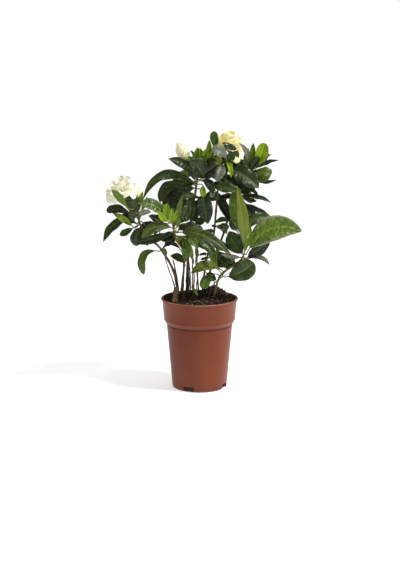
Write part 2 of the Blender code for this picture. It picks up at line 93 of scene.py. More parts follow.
# name, colour, shape, width, base, middle, tip, facing; each one stands for the CAD node of its name
LEAVES = [
    ("leaf_left_1", "mid", "oval", 13, (-115, -50, 313), (-129, -68, 332), (-141, -80, 349), (0.3, -1, 0.4)),
    ("leaf_left_2", "dark", "blunt", 26, (-108, -30, 296), (-109, -39, 316), (-114, -44, 335),
     (0.1, -1, 0.3)),
    ("leaf_left_3", "dark", "blunt", 17, (-110, -27, 296), (-132, -33, 310), (-152, -40, 306),
     (-0.1, -1, 0.7)),
    ("leaf_left_4", "young", "oval", 12, (-108, -28, 278), (-124, -34, 293), (-142, -38, 304),
     (0.2, -1, 0.5)),
    ("leaf_left_5", "mid", "lance", 17, (-113, -26, 296), (-141, -29, 280), (-159, -34, 255),
     (-0.3, -1, 0.4)),
    ("leaf_left_6", "dark", "blunt", 22, (-84, -17, 274), (-101, -14, 265), (-106, -8, 244), (-0.3, -1, 0.4)),
    ("leaf_crown_1", "dark", "taper", 18, (-7, -8, 348), (-58, -24, 362), (-93, -30, 325), (-0.1, -1, 0.5)),
    ("leaf_crown_2", "dark", "oval", 20, (-16, 2, 347), (-54, 12, 342), (-66, 18, 313), (-0.3, -1, 0.4)),
    ("leaf_crown_3", "dark", "oval", 19, (-3, -6, 353), (-21, -22, 378), (-51, -32, 393), (-0.1, -1, 0.4)),
    ("leaf_crown_4", "dark", "oval", 36, (6, -8, 353), (1, -28, 374), (-17, -40, 391), 0.5),
    ("leaf_top_1", "mid", "blunt", 15, (29, 4, 400), (26, 1, 419), (23, -1, 435), 0.1),
    ("leaf_top_2", "grey", "blunt", 21, (45, -5, 386), (37, -18, 403), (20, -21, 406), 0.4),
    ("leaf_top_3", "dark", "oval", 17, (63, 7, 378), (55, 0, 399), (38, -5, 417), (0.1, -1, 0.3)),
    ("leaf_top_4", "dark", "oval", 36, (44, 4, 373), (72, -6, 362), (98, -12, 342), (0.2, -1, 0.4)),
    ("leaf_top_5", "dark", "oval", 21, (16, 2, 350), (40, -14, 346), (70, -20, 338), 0.6),
    ("leaf_tip_1", "young", "blunt", 23, (90, 4, 373), (99, 0, 392), (108, 3, 415), (0.1, -1, 0.1)),
    ("leaf_tip_2", "dark", "lance", 10, (92, 14, 370), (111, 12, 382), (132, 8, 386), (0, -0.8, 0.9)),
    ("leaf_tip_3", "mid", "blunt", 19, (88, 4, 365), (104, -4, 369), (120, -6, 366), (0.1, -1, 0.6)),
    ("leaf_right_1", "dark", "lance", 17, (24, 20, 338), (39, 20, 307), (56, 13, 276), (0.2, -1, 0)),
    ("leaf_right_2", "olive", "lance", 20, (74, -35, 240), (74, -40, 295), (61, -34, 350), (0.1, -1, 0.2)),
    ("leaf_right_3", "mid", "lance", 22, (72, -25, 257), (60, -20, 307), (60, -16, 346), 0.1),
    ("leaf_right_4", "glossy", "broad", 43, (77, -29, 233), (117, -44, 275), (168, -44, 275),
     (-0.1, -1, 0.4)),
    ("leaf_right_5", "dark", "oval", 21, (76, -23, 225), (96, -20, 236), (117, -16, 252), (0.2, -1, 0.2)),
    ("leaf_right_6", "mid", "blunt", 36, (43, -18, 193), (67, -32, 204), (90, -40, 222), (0.1, -1, 0.2)),
    ("leaf_right_7", "dark", "oval", 31, (74, -24, 230), (61, -16, 249), (49, -8, 269), (-0.2, -1, 0.3)),
    ("leaf_mid_1", "glossy", "oval", 23, (-50, -34, 295), (-73, -44, 318), (-101, -46, 322),
     (-0.2, -0.9, 0.7)),
    ("leaf_mid_2", "olive", "oval", 20, (-41, -36, 277), (-70, -44, 281), (-95, -52, 264), (-0.1, -0.9, 0.7)),
    ("leaf_mid_3", "mid", "blunt", 16, (-66, -19, 237), (-92, -22, 230), (-93, -24, 198), (-0.4, -1, 0.3)),
    ("leaf_mid_4", "dark", "oval", 25, (-9, -4, 331), (-17, -10, 310), (-23, -10, 285), 0.2),
    ("leaf_mid_5", "dark", "oval", 28, (7, -5, 338), (9, -16, 313), (14, -12, 282), (0.1, -1, 0.2)),
    ("leaf_mid_6", "olive", "taper", 19, (-39, -31, 270), (11, -53, 270), (55, -60, 233), 0.5),
    ("leaf_mid_7", "mid", "lance", 20, (-24, -17, 262), (6, -34, 254), (27, -42, 223), (0.1, -1, 0.5)),
    ("leaf_mid_8", "olive", "oval", 19, (36, -16, 205), (12, -36, 215), (-14, -42, 204), 0.5),
    ("leaf_back_1", "dark", "oval", 26, (-14, 15, 245), (-18, 48, 248), (-15, 82, 238), BACK),
    ("leaf_back_2", "dark", "oval", 28, (-8, 8, 319), (-25, 44, 324), (-35, 80, 312), BACK),
    ("leaf_back_3", "dark", "oval", 26, (33, 16, 350), (45, 44, 351), (56, 78, 342), BACK),
    ("leaf_back_4", "dark", "oval", 26, (50, 28, 294), (57, 56, 291), (63, 88, 274), BACK),
]

# more leaves, which have no CAD node: colour, shape, width, base, middle, tip, facing
MORE_LEAVES = {"left": [
    ("grey", "oval", 11, (-103, -28, 296), (-92, -22, 302), (-80, -16, 303), 0.7),
    ("mid", "oval", 13, (-107, -25, 279), (-122, -28, 271), (-132, -30, 266), (-0.2, -1, 0.6)),
    ("dark", "lance", 15, (-59, -26, 286), (-70, -22, 293), (-85, -20, 297), 0.7),
    ("dark", "oval", 16, (-46, -24, 270), (-74, -26, 261), (-109, -20, 251), 0.4),
    ("dark", "oval", 17, (-66, -16, 269), (-86, -10, 278), (-101, -4, 267), 0.4),
    ("dark", "oval", 14, (-97, -20, 288), (-84, -16, 282), (-69, -10, 285), 0.6),
    ("dark", "oval", 14, (-79, -20, 256), (-89, -14, 257), (-86, -8, 244), 0.4),
    ("young", "lance", 8, (-98, -29, 310), (-96, -34, 325), (-93, -36, 341), 0.1),
    ("mid", "lance", 8, (-100, -29, 308), (-99, -33, 322), (-99, -34, 335), 0.1),
    ("young", "lance", 8, (-97, -28, 306), (-91, -32, 318), (-86, -34, 332), (0.1, -1, 0.2)),
    ("young", "lance", 8, (-115, -30, 305), (-122, -37, 321), (-127, -40, 338), (0.2, -1, 0.2)),
    ("dark", "lance", 9, (-113, -30, 306), (-117, -36, 322), (-122, -38, 339), 0.2),
    ("dark", "oval", 16, (-105, -25, 284), (-118, -22, 292), (-128, -18, 300), 0.4),
    ("mid", "oval", 12, (-105, -26, 286), (-110, -34, 300), (-104, -38, 318), (0.1, -1, 0.3)),
], "crown": [
    ("grey", "lance", 13, (-6, -1, 341), (-23, 5, 338), (-39, 9, 339), 0.6),
    ("dark", "oval", 20, (-19, 4, 343), (-38, 12, 324), (-50, 16, 294), (-0.2, -1, 0.2)),
    ("dark", "oval", 16, (-13, 6, 346), (-48, 18, 329), (-58, 22, 303), (-0.2, -1, 0.2)),
    ("young", "blunt", 11, (-16, -5, 353), (-24, -9, 363), (-27, -10, 372), 0.3),
    ("dark", "lance", 5, (-6, -7, 388), (-9, -9, 398), (-15, -9, 404), 0),
    ("dark", "oval", 26, (1, -7, 355), (14, -22, 370), (29, -26, 382), (0.2, -1, 0.4)),
    ("mid", "oval", 17, (4, -9, 368), (14, -18, 383), (30, -22, 388), (0, -0.9, 0.7)),
    ("dark", "oval", 22, (-1, -2, 352), (-26, -6, 348), (-46, -8, 353), 0.5),
    ("dark", "oval", 16, (2, -6, 355), (16, -14, 349), (22, -16, 333), 0.3),
    ("dark", "oval", 20, (-6, 0, 347), (-28, 8, 351), (-49, 14, 342), 0.4),
    ("mid", "oval", 10, (2, -8, 365), (12, -16, 373), (19, -18, 371), 0.3),
    ("dark", "oval", 20, (6, -7, 378), (-6, 2, 382), (-19, 6, 383), 0.6),
    ("dark", "oval", 18, (-1, -4, 368), (-11, 0, 371), (-19, 2, 360), 0.4),
    ("young", "oval", 9, (-6, -9, 378), (-14, -18, 389), (-19, -20, 396), 0.4),
], "top": [
    ("grey", "oval", 20, (39, 6, 381), (35, -12, 370), (27, -20, 355), 0.3),
    ("young", "oval", 9, (42, 5, 383), (49, -8, 377), (52, -12, 359), (0.1, -1, 0.1)),
    ("olive", "blunt", 9, (26, 4, 355), (24, -12, 362), (22, -16, 368), 0.4),
    ("mid", "lance", 9, (41, 6, 381), (44, -6, 375), (44, -8, 358), 0.1),
    ("dark", "oval", 18, (47, 12, 381), (61, 10, 383), (72, 6, 376), 0.6),
    ("olive", "oval", 17, (37, 4, 377), (31, -10, 388), (19, -14, 394), 0.4),
    ("dark", "oval", 14, (41, 8, 383), (37, 0, 391), (49, -4, 394), 0.4),
    ("dark", "oval", 24, (37, 6, 373), (29, 8, 376), (14, 10, 374), 0.4),
    ("dark", "oval", 24, (41, 8, 370), (61, 12, 366), (78, 12, 349), 0.4),
    ("dark", "oval", 22, (34, 10, 356), (54, 8, 351), (77, 4, 337), 0.5),
    ("dark", "oval", 20, (31, 10, 359), (44, 0, 357), (61, -6, 345), 0.5),
    ("young", "lance", 7, (36, 4, 380), (34, -4, 391), (31, -4, 404), 0.1),
    ("mid", "oval", 14, (64, 14, 375), (54, 4, 387), (50, 0, 399), 0.3),
    ("dark", "oval", 18, (42, 8, 376), (47, 2, 387), (60, 0, 394), 0.4),
], "tip": [
    ("olive", "lance", 9, (89, 10, 371), (104, 11, 386), (120, 12, 395), (0, -0.9, 0.7)),
    ("mid", "lance", 10, (89, 8, 371), (104, 0, 386), (115, -2, 399), 0.4),
    ("dark", "lance", 9, (86, 10, 359), (107, 6, 351), (128, 4, 354), (0, -0.8, 0.8)),
    ("olive", "oval", 10, (87, 8, 361), (104, -2, 357), (118, -8, 364), 0.4),
    ("dark", "oval", 15, (84, 12, 369), (73, 18, 375), (66, 22, 388), (0, -0.8, 0.8)),
    ("mid", "lance", 10, (86, 9, 369), (81, 12, 389), (81, 12, 406), 0.1),
    ("dark", "oval", 15, (87, 8, 368), (92, -2, 382), (100, -6, 393), 0.4),
    ("dark", "oval", 18, (82, 10, 366), (97, 4, 362), (104, 0, 349), 0.4),
    ("dark", "oval", 17, (83, 12, 366), (71, 4, 368), (64, 0, 382), 0.4),
], "right": [
    ("dark", "lance", 10, (68, 16, 325), (96, 12, 324), (120, 8, 315), (0, -0.8, 0.8)),
    ("dark", "oval", 12, (73, 17, 325), (83, 14, 318), (96, 12, 317), (0, -0.8, 0.8)),
    ("dark", "lance", 10, (71, 21, 312), (98, 17, 303), (122, 13, 288), (0, -0.9, 0.7)),
    ("dark", "oval", 17, (75, 20, 314), (87, 20, 297), (89, 22, 273), (0.2, -1, 0.2)),
    ("mid", "oval", 19, (75, -24, 270), (94, -12, 290), (114, -4, 291), 0.5),
    ("dark", "oval", 11, (60, 17, 325), (49, 18, 324), (39, 20, 324), 0.5),
    ("young", "lance", 7, (77, -32, 242), (82, -35, 264), (82, -34, 289), 0),
    ("grey", "lance", 8, (81, -23, 225), (103, -17, 226), (117, -14, 212), (0.1, -1, 0.3)),
    ("grey", "oval", 9, (72, -30, 229), (54, -37, 231), (35, -40, 236), 0.6),
    ("dark", "oval", 27, (64, -17, 218), (46, -8, 218), (29, -2, 234), 0.4),
    ("olive", "lance", 8, (39, -14, 196), (26, -18, 224), (39, -16, 244), (-0.2, -1, 0.3)),
    ("dark", "oval", 20, (51, -19, 209), (38, -14, 216), (24, -8, 210), 0.4),
    ("dark", "oval", 15, (59, -20, 214), (52, -30, 226), (42, -32, 230), 0.5),
    ("mid", "lance", 10, (51, 24, 281), (38, 14, 286), (24, 10, 278), 0.5),
    ("dark", "oval", 12, (45, 23, 262), (43, 12, 273), (29, 10, 271), 0.4),
    ("dark", "lance", 8, (26, 11, 268), (18, 6, 267), (6, 2, 269), 0.3),
    ("dark", "lance", 7, (78, 16, 338), (90, 14, 333), (98, 12, 325), (0, -0.9, 0.6)),
    ("dark", "oval", 20, (75, 18, 307), (80, 10, 288), (83, 8, 268), (0.1, -1, 0.1)),
    ("dark", "oval", 17, (64, -6, 267), (56, -4, 280), (61, -2, 297), 0.1),
    ("dark", "oval", 13, (79, 12, 334), (78, 10, 326), (86, 8, 317), 0.3),
    ("dark", "oval", 20, (61, 14, 335), (74, 8, 338), (93, 6, 338), 0.5),
    ("young", "lance", 6, (75, -33, 238), (78, -38, 253), (82, -38, 266), 0),
    ("dark", "oval", 16, (44, -16, 208), (36, -10, 224), (21, -8, 230), 0.4),
], "mid": [
    ("dark", "oval", 19, (-36, -24, 272), (-16, -24, 280), (6, -20, 274), (0, -0.9, 0.7)),
    ("dark", "lance", 8, (-29, -12, 234), (-46, -8, 249), (-65, -4, 236), (0, -0.9, 0.6)),
    ("olive", "lance", 9, (-54, -17, 225), (-59, -20, 236), (-61, -22, 245), (0.2, -1, 0.1)),
    ("dark", "oval", 14, (-24, -10, 212), (-34, -12, 224), (-49, -8, 227), 0.4),
    ("mid", "oval", 12, (-3, -4, 324), (-19, -13, 331), (-36, -17, 323), 0.4),
    ("olive", "lance", 10, (-42, -29, 275), (-37, -24, 307), (-26, -20, 335), (0.3, -1, 0.1)),
    ("dark", "oval", 22, (-14, 6, 319), (-31, 8, 311), (-38, 10, 288), 0.2),
    ("mid", "oval", 17, (-26, -17, 262), (-14, -30, 258), (-4, -38, 246), (0.2, -1, 0.4)),
    ("mid", "oval", 14, (-29, -16, 262), (-22, -24, 250), (-16, -28, 237), (0.2, -1, 0.2)),
    ("mid", "blunt", 18, (26, -12, 197), (12, -26, 191), (6, -34, 176), (-0.2, -1, 0.4)),
    ("grey", "oval", 9, (24, -14, 185), (18, -20, 190), (9, -22, 194), 0.6),
    ("olive", "lance", 8, (-11, -15, 218), (-13, -20, 234), (-14, -22, 248), 0),
    ("mid", "lance", 7, (-4, -6, 220), (-4, -12, 234), (-6, -14, 247), (0.2, -1, 0)),
    ("dark", "lance", 6, (-3, -6, 227), (6, -10, 231), (16, -12, 231), (0, -0.9, 0.8)),
    ("dark", "lance", 6, (18, 6, 221), (9, -8, 222), (1, -12, 221), (0, -0.9, 0.8)),
    ("olive", "lance", 5, (-13, -24, 177), (-8, -32, 172), (-3, -38, 165), 0.3),
    ("young", "blunt", 14, (-50, -34, 287), (-55, -40, 303), (-53, -40, 320), 0.1),
    ("young", "lance", 10, (-47, -34, 287), (-47, -43, 300), (-45, -45, 314), 0.1),
    ("young", "lance", 8, (-44, -33, 287), (-40, -40, 298), (-37, -42, 310), (0.1, -1, 0.1)),
    ("young", "lance", 7, (-39, -31, 278), (-35, -36, 287), (-34, -36, 297), (0.1, -1, 0.1)),
    ("young", "oval", 11, (-49, -34, 289), (-60, -42, 298), (-68, -44, 310), 0.3),
    ("dark", "oval", 15, (-36, -22, 270), (-26, -14, 277), (-9, -8, 273), 0.5),
    ("young", "blunt", 12, (6, -5, 346), (6, -14, 339), (7, -15, 328), 0.1),
    ("grey", "blunt", 9, (21, 4, 340), (21, -10, 335), (19, -12, 326), 0.2),
    ("dark", "oval", 18, (-39, -20, 273), (-51, -12, 262), (-69, -6, 257), 0.4),
    ("dark", "oval", 20, (-14, -4, 323), (-24, -16, 301), (-36, -18, 284), 0.2),
    ("dark", "oval", 22, (-1, -2, 324), (-9, -4, 304), (-6, -6, 284), 0.2),
    ("dark", "oval", 17, (-36, -18, 263), (-46, -12, 258), (-58, -8, 244), 0.3),
    ("dark", "oval", 18, (21, 2, 256), (33, -8, 247), (49, -12, 240), 0.4),
    ("mid", "oval", 13, (11, -20, 253), (21, -26, 237), (19, -28, 221), 0.2),
    ("dark", "oval", 16, (-42, -10, 308), (-39, -16, 296), (-42, -18, 279), 0.2),
    ("dark", "oval", 16, (11, -2, 198), (18, -8, 193), (28, -10, 186), 0.4),
    ("dark", "oval", 14, (-11, -6, 281), (1, -8, 285), (7, -8, 295), 0.3),
    ("dark", "oval", 18, (6, 0, 324), (19, -2, 327), (32, -4, 321), 0.4),
    ("mid", "oval", 16, (-21, -18, 263), (-6, -26, 257), (11, -30, 241), 0.4),
    ("dark", "oval", 16, (-32, -18, 263), (-26, -16, 250), (-16, -14, 235), 0.3),
    ("mid", "oval", 14, (-16, -14, 259), (-21, -20, 241), (-23, -20, 219), 0.1),
], "back": [
    ("dark", "oval", 24, (-13, 10, 287), (-33, 42, 292), (-47, 72, 277), BACK),
    ("mid", "oval", 18, (-99, -20, 283), (-105, 10, 295), (-113, 36, 284), BACK),
    ("dark", "oval", 24, (29, 18, 313), (36, 46, 320), (44, 76, 306), BACK),
    ("dark", "oval", 24, (-6, 2, 349), (-21, 34, 359), (-42, 60, 346), BACK),
    ("dark", "oval", 22, (36, 16, 369), (53, 40, 376), (67, 60, 361), BACK),
    ("mid", "oval", 18, (83, 14, 362), (83, 36, 368), (83, 62, 349), BACK),
    ("dark", "oval", 24, (46, 26, 282), (62, 52, 292), (80, 74, 275), BACK),
    ("mid", "oval", 22, (-18, 10, 246), (-8, 44, 252), (6, 70, 235), BACK),
    ("dark", "oval", 20, (-74, -18, 261), (-78, 14, 267), (-86, 40, 256), BACK),
    ("dark", "oval", 22, (24, 15, 269), (33, 44, 269), (47, 68, 251), BACK),
    ("dark", "oval", 22, (55, 22, 324), (70, 48, 329), (90, 66, 314), BACK),
    ("mid", "oval", 22, (60, 20, 338), (60, 48, 342), (57, 76, 328), BACK),
    ("dark", "oval", 22, (-3, -4, 361), (2, 26, 369), (6, 54, 355), BACK),
    ("mid", "oval", 20, (36, 12, 369), (29, 36, 378), (21, 60, 365), BACK),
]}

# tufts of young leaves, each for the CAD node of its name
TUFTS = {"tuft_crown": [
    ("young", "oval", 10, (-1, -7, 378), (-4, -12, 395), (-2, -12, 410), 0.2),
    ("young", "oval", 13, (4, -7, 378), (7, -17, 394), (12, -19, 408), 0.3),
    ("young", "oval", 11, (9, -6, 378), (16, -8, 400), (16, -6, 421), (-0.2, -1, 0.1)),
    ("young", "oval", 12, (2, -7, 378), (-6, -16, 392), (-6, -20, 404), (0.2, -1, 0.2)),
    ("young", "oval", 12, (2, -5, 378), (1, -9, 395), (1, -8, 408), 0.4),
    ("young", "oval", 12, (7, -7, 378), (17, -12, 392), (21, -12, 405), (-0.1, -1, 0.2)),
    ("young", "oval", 12, (6, -8, 375), (6, -20, 386), (11, -26, 395), 0.5),
], "tuft_top_right": [
    ("young", "oval", 12, (87, 8, 368), (89, 7, 391), (89, 7, 415), 0.1),
    ("olive", "lance", 9, (84, 8, 368), (77, 8, 383), (76, 8, 398), (0.1, -1, 0.1)),
    ("grey", "lance", 9, (81, 9, 373), (79, 6, 400), (65, 2, 415), (0.3, -1, 0.2)),
]}

# shape: where the blade is widest and how blunt its tip is, as the powers of along and (1 - along)
SHAPES = {"oval": (0.95, 0.92), "blunt": (1.0, 0.58), "lance": (0.9, 1.1), "broad": (0.85, 0.95),
          "taper": (0.55, 1.0)}
# colour: fold at the rib, fall of the margins, quilting between the veins, waves at the margin
FORMS = {
    "dark": (0.34, 0.24, 3.4, 0.16),
    "mid": (0.30, 0.18, 1.8, 0.14),
    "olive": (0.26, 0.18, 1.4, 0.12),
    "glossy": (0.22, 0.22, 4.2, 0.09),
    "young": (0.42, 0.08, 0.8, 0.10),
    "grey": (0.24, 0.20, 3.0, 0.13),
}
# where it isn't left to chance: how light a leaf is within its colour, and how green a stem is at its foot
TONES = {
    "branch_right": 0.9, "leaf_right_2_blade": 0.9, "leaf_mid_6_blade": -0.7, "leaf_mid_2_blade": -0.4,
    "leaf_mid_8_blade": 0.1, "leaf_right_6_blade": -0.6, "leaf_left_1_blade": 1.4, "leaf_right_3_blade": 0.4,
    "leaf_tip_3_blade": 0.6, "leaf_left_5_blade": -0.4, "leaf_top_1_blade": 0.5,
}
BLADE_STEPS = 40
BLADE_ACROSS = 14
BLADE_THICKNESS = 0.4
VEINS = 8
PETIOLE_RADIUS = 0.95


# ---------------------------------------------------------------- mesh building


class Cloud:
    """Vertices and faces that grow into one mesh. Each vertex has a place on its blade and a tone."""

    def __init__(self):
        self.points, self.uv, self.tone, self.faces, self.material = [], [], [], [], []

    def add(self, points, faces, uv=None, tone=0.0, material=0):
        start = sum(len(block) for block in self.points)
        count = len(points)
        self.points.append(np.asarray(points, float))
        self.uv.append(np.full((count, 2), 0.5) if uv is None else np.asarray(uv, float))
        self.tone.append(np.broadcast_to(np.asarray(tone, float), (count,)))
        self.faces += [[start + corner for corner in face] for face in faces]
        self.material += [material] * len(faces) if np.isscalar(material) else list(material)

    def piece(self, name, materials, node=None):
        """Makes the object, in metres, and gives it to the frame."""
        mesh = bpy.data.meshes.new(name)
        mesh.from_pydata((np.concatenate(self.points) * MM).tolist(), [], self.faces)
        uv = np.concatenate(self.uv)
        corners = np.empty(len(mesh.loops), np.int32)
        mesh.loops.foreach_get("vertex_index", corners)
        mesh.uv_layers.new(name="blade").data.foreach_set("uv", uv[corners].ravel())
        tone = mesh.attributes.new("tone", "FLOAT", "POINT")
        tone.data.foreach_set("value", np.concatenate(self.tone).astype(np.float32))
        for material in materials:
            mesh.materials.append(material)
        mesh.polygons.foreach_set("material_index", np.asarray(self.material, np.int32))
        mesh.shade_smooth()
        mesh.update()
        give(bpy.data.objects.new(name, mesh), node)


def give(obj, node=None):
    """Links a piece, lets it ride on the model and stand for its CAD node."""
    bpy.context.scene.collection.objects.link(obj)
    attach(obj, ROOT)
    if node:
        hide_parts(node)


def smooth_path(points, steps):
    """A Catmull-Rom curve through the points."""
    points = np.asarray(points, float)
    ends = np.vstack([2 * points[0] - points[1], points, 2 * points[-1] - points[-2]])
    run = []
    for before, start, end, after in zip(ends, ends[1:], ends[2:], ends[3:]):
        for t in np.arange(steps) / steps:
            run.append(0.5 * (2 * start + (end - before) * t
                              + (2 * before - 5 * start + 4 * end - after) * t**2
                              + (3 * start - before - 3 * end + after) * t**3))
    return np.array(run + [points[-1]])


def sweep(path, radii, sides, ribs=0, rib_depth=0.0):
    """A closed tube along a path: points and faces."""
    path = np.asarray(path, float)
    heading = np.gradient(path, axis=0)
    heading /= np.linalg.norm(heading, axis=1)[:, None]
    side = np.cross(heading[0], (0.3, 1.0, 0.2))
    rings = []
    for centre, along, radius in zip(path, heading, radii):
        side = side - along * side.dot(along)
        side /= np.linalg.norm(side)
        other = np.cross(along, side)
        angle = np.arange(sides) * 2 * math.pi / sides
        reach = radius * (1 + rib_depth * np.cos(ribs * angle))
        out = np.cos(angle)[:, None] * side + np.sin(angle)[:, None] * other
        rings.append(centre + reach[:, None] * out)
    count = len(path)
    faces = [(row * sides + k, row * sides + (k + 1) % sides, (row + 1) * sides + (k + 1) % sides,
              (row + 1) * sides + k) for row in range(count - 1) for k in range(sides)]
    faces.append(tuple(range(sides - 1, -1, -1)))
    faces.append(tuple((count - 1) * sides + k for k in range(sides)))
    return np.concatenate(rings), faces


def grid_solid(top, bottom):
    """Faces of a thin closed shell between two equal grids of points: (points, faces, material numbers)."""
    rows, columns = top.shape[:2]
    lower = rows * columns

    def at(row, column, layer=0):
        return layer * lower + row * columns + column

    faces, material = [], []
    for row in range(rows - 1):
        for column in range(columns - 1):
            faces.append((at(row, column), at(row, column + 1), at(row + 1, column + 1), at(row + 1, column)))
            faces.append((at(row, column, 1), at(row + 1, column, 1), at(row + 1, column + 1, 1),
                          at(row, column + 1, 1)))
            material += [0, 1]
    border = ([(0, column) for column in range(columns)]
              + [(row, columns - 1) for row in range(1, rows)]
              + [(rows - 1, column) for column in range(columns - 2, -1, -1)]
              + [(row, 0) for row in range(rows - 2, 0, -1)])
    for this, following in zip(border, border[1:] + border[:1]):
        faces.append((at(*this), at(*this, 1), at(*following, 1), at(*following)))
        material.append(0)
    return np.concatenate([top.reshape(-1, 3), bottom.reshape(-1, 3)]), faces, material


def unit(vectors):
    return vectors / np.linalg.norm(vectors, axis=-1, keepdims=True)


def blade_uv(t, s):
    """The places along and across a blade, 0 to 1, of both grids of its shell."""
    size = (len(t), s.shape[1])
    place = np.stack([np.broadcast_to(t, size), np.broadcast_to(0.5 + 0.5 * s, size)], -1).reshape(-1, 2)
    return np.concatenate([place, place])


def blade(cloud, width, base, middle, tip, face, shape, form, tone, chance, steps=BLADE_STEPS,
          across=BLADE_ACROSS, thickness=BLADE_THICKNESS, twist=0.0, ruffles=2.5, stalk=0.10):
    """A leaf or petal: a thin closed blade bent along the curve through its three points."""
    power_base, power_tip = shape
    fold, fall, quilt, wave = form
    base, middle, tip = (np.array(place, float) for place in (base, middle, tip))
    control = 2 * middle - (base + tip) / 2
    t = np.linspace(0, 1, steps + 1)[:, None]
    rib = (1 - t) ** 2 * base + 2 * t * (1 - t) * control + t * t * tip
    heading = unit(2 * (1 - t) * (control - base) + 2 * t * (tip - control))
    side = unit(np.cross(heading, np.array(face, float)))
    up = np.cross(side, heading)
    turn = twist * (t - 0.3)
    side, up = side * np.cos(turn) + up * np.sin(turn), up * np.cos(turn) - side * np.sin(turn)

    blade_t = np.clip((t - stalk) / (1 - stalk), 0, 1)
    peak = power_base / (power_base + power_tip)
    full = blade_t**power_base * (1 - blade_t) ** power_tip
    full = full / (peak**power_base * (1 - peak) ** power_tip)
    reach = np.maximum(0.5 * width * full**0.9, 0.8 * (1 - blade_t) + 0.12)
    s = np.linspace(-1, 1, across + 1)[None, :]
    a = np.abs(s)

    phase = chance.uniform(0, 6.28)
    other_phase = chance.uniform(0, 6.28)
    edge = np.where(s > 0, phase, other_phase)
    between_veins = np.cos(2 * math.pi * (blade_t * VEINS - 0.9 * a))
    length = np.linalg.norm(tip - base)
    lift = reach * (fold * a - fall * a**2.4)
    lift = lift + wave * reach * a**2 * np.sin(2 * math.pi * ruffles * blade_t + edge)
    lift = lift - 0.35 * quilt * between_veins * a * (1 - a**4) * np.minimum(1, reach / 5)
    lift = lift - 0.45 * np.exp(-((a * reach / 0.9) ** 2)) * np.minimum(1, reach / 4)
    sway = 0.035 * length * math.sin(phase) * np.sin(math.pi * t)
    across_mm = s * reach * np.cos(np.arctan(fold)) + sway
    middle_grid = rib[:, None, :] - across_mm[..., None] * side[:, None, :] + lift[..., None] * up[:, None, :]
    half = 0.5 * thickness * (1 - 0.6 * a**6)
    keel = 0.55 * np.exp(-((a * reach / 0.8) ** 2)) * (1.1 - t) * min(1.0, width / 12)
    top = middle_grid + half[..., None] * up[:, None, :]
    bottom = middle_grid - (half + keel)[..., None] * up[:, None, :]
    points, faces, material = grid_solid(top, bottom)
    cloud.add(points, faces, blade_uv(t, s), tone, material)


# ---------------------------------------------------------------- materials


def srgb(*colour):
    """A colour from its display values, 0 to 255."""
    linear = (((value / 255 + 0.055) / 1.055) ** 2.4 if value > 10 else value / 3294 for value in colour)
    return (*linear, 1.0)


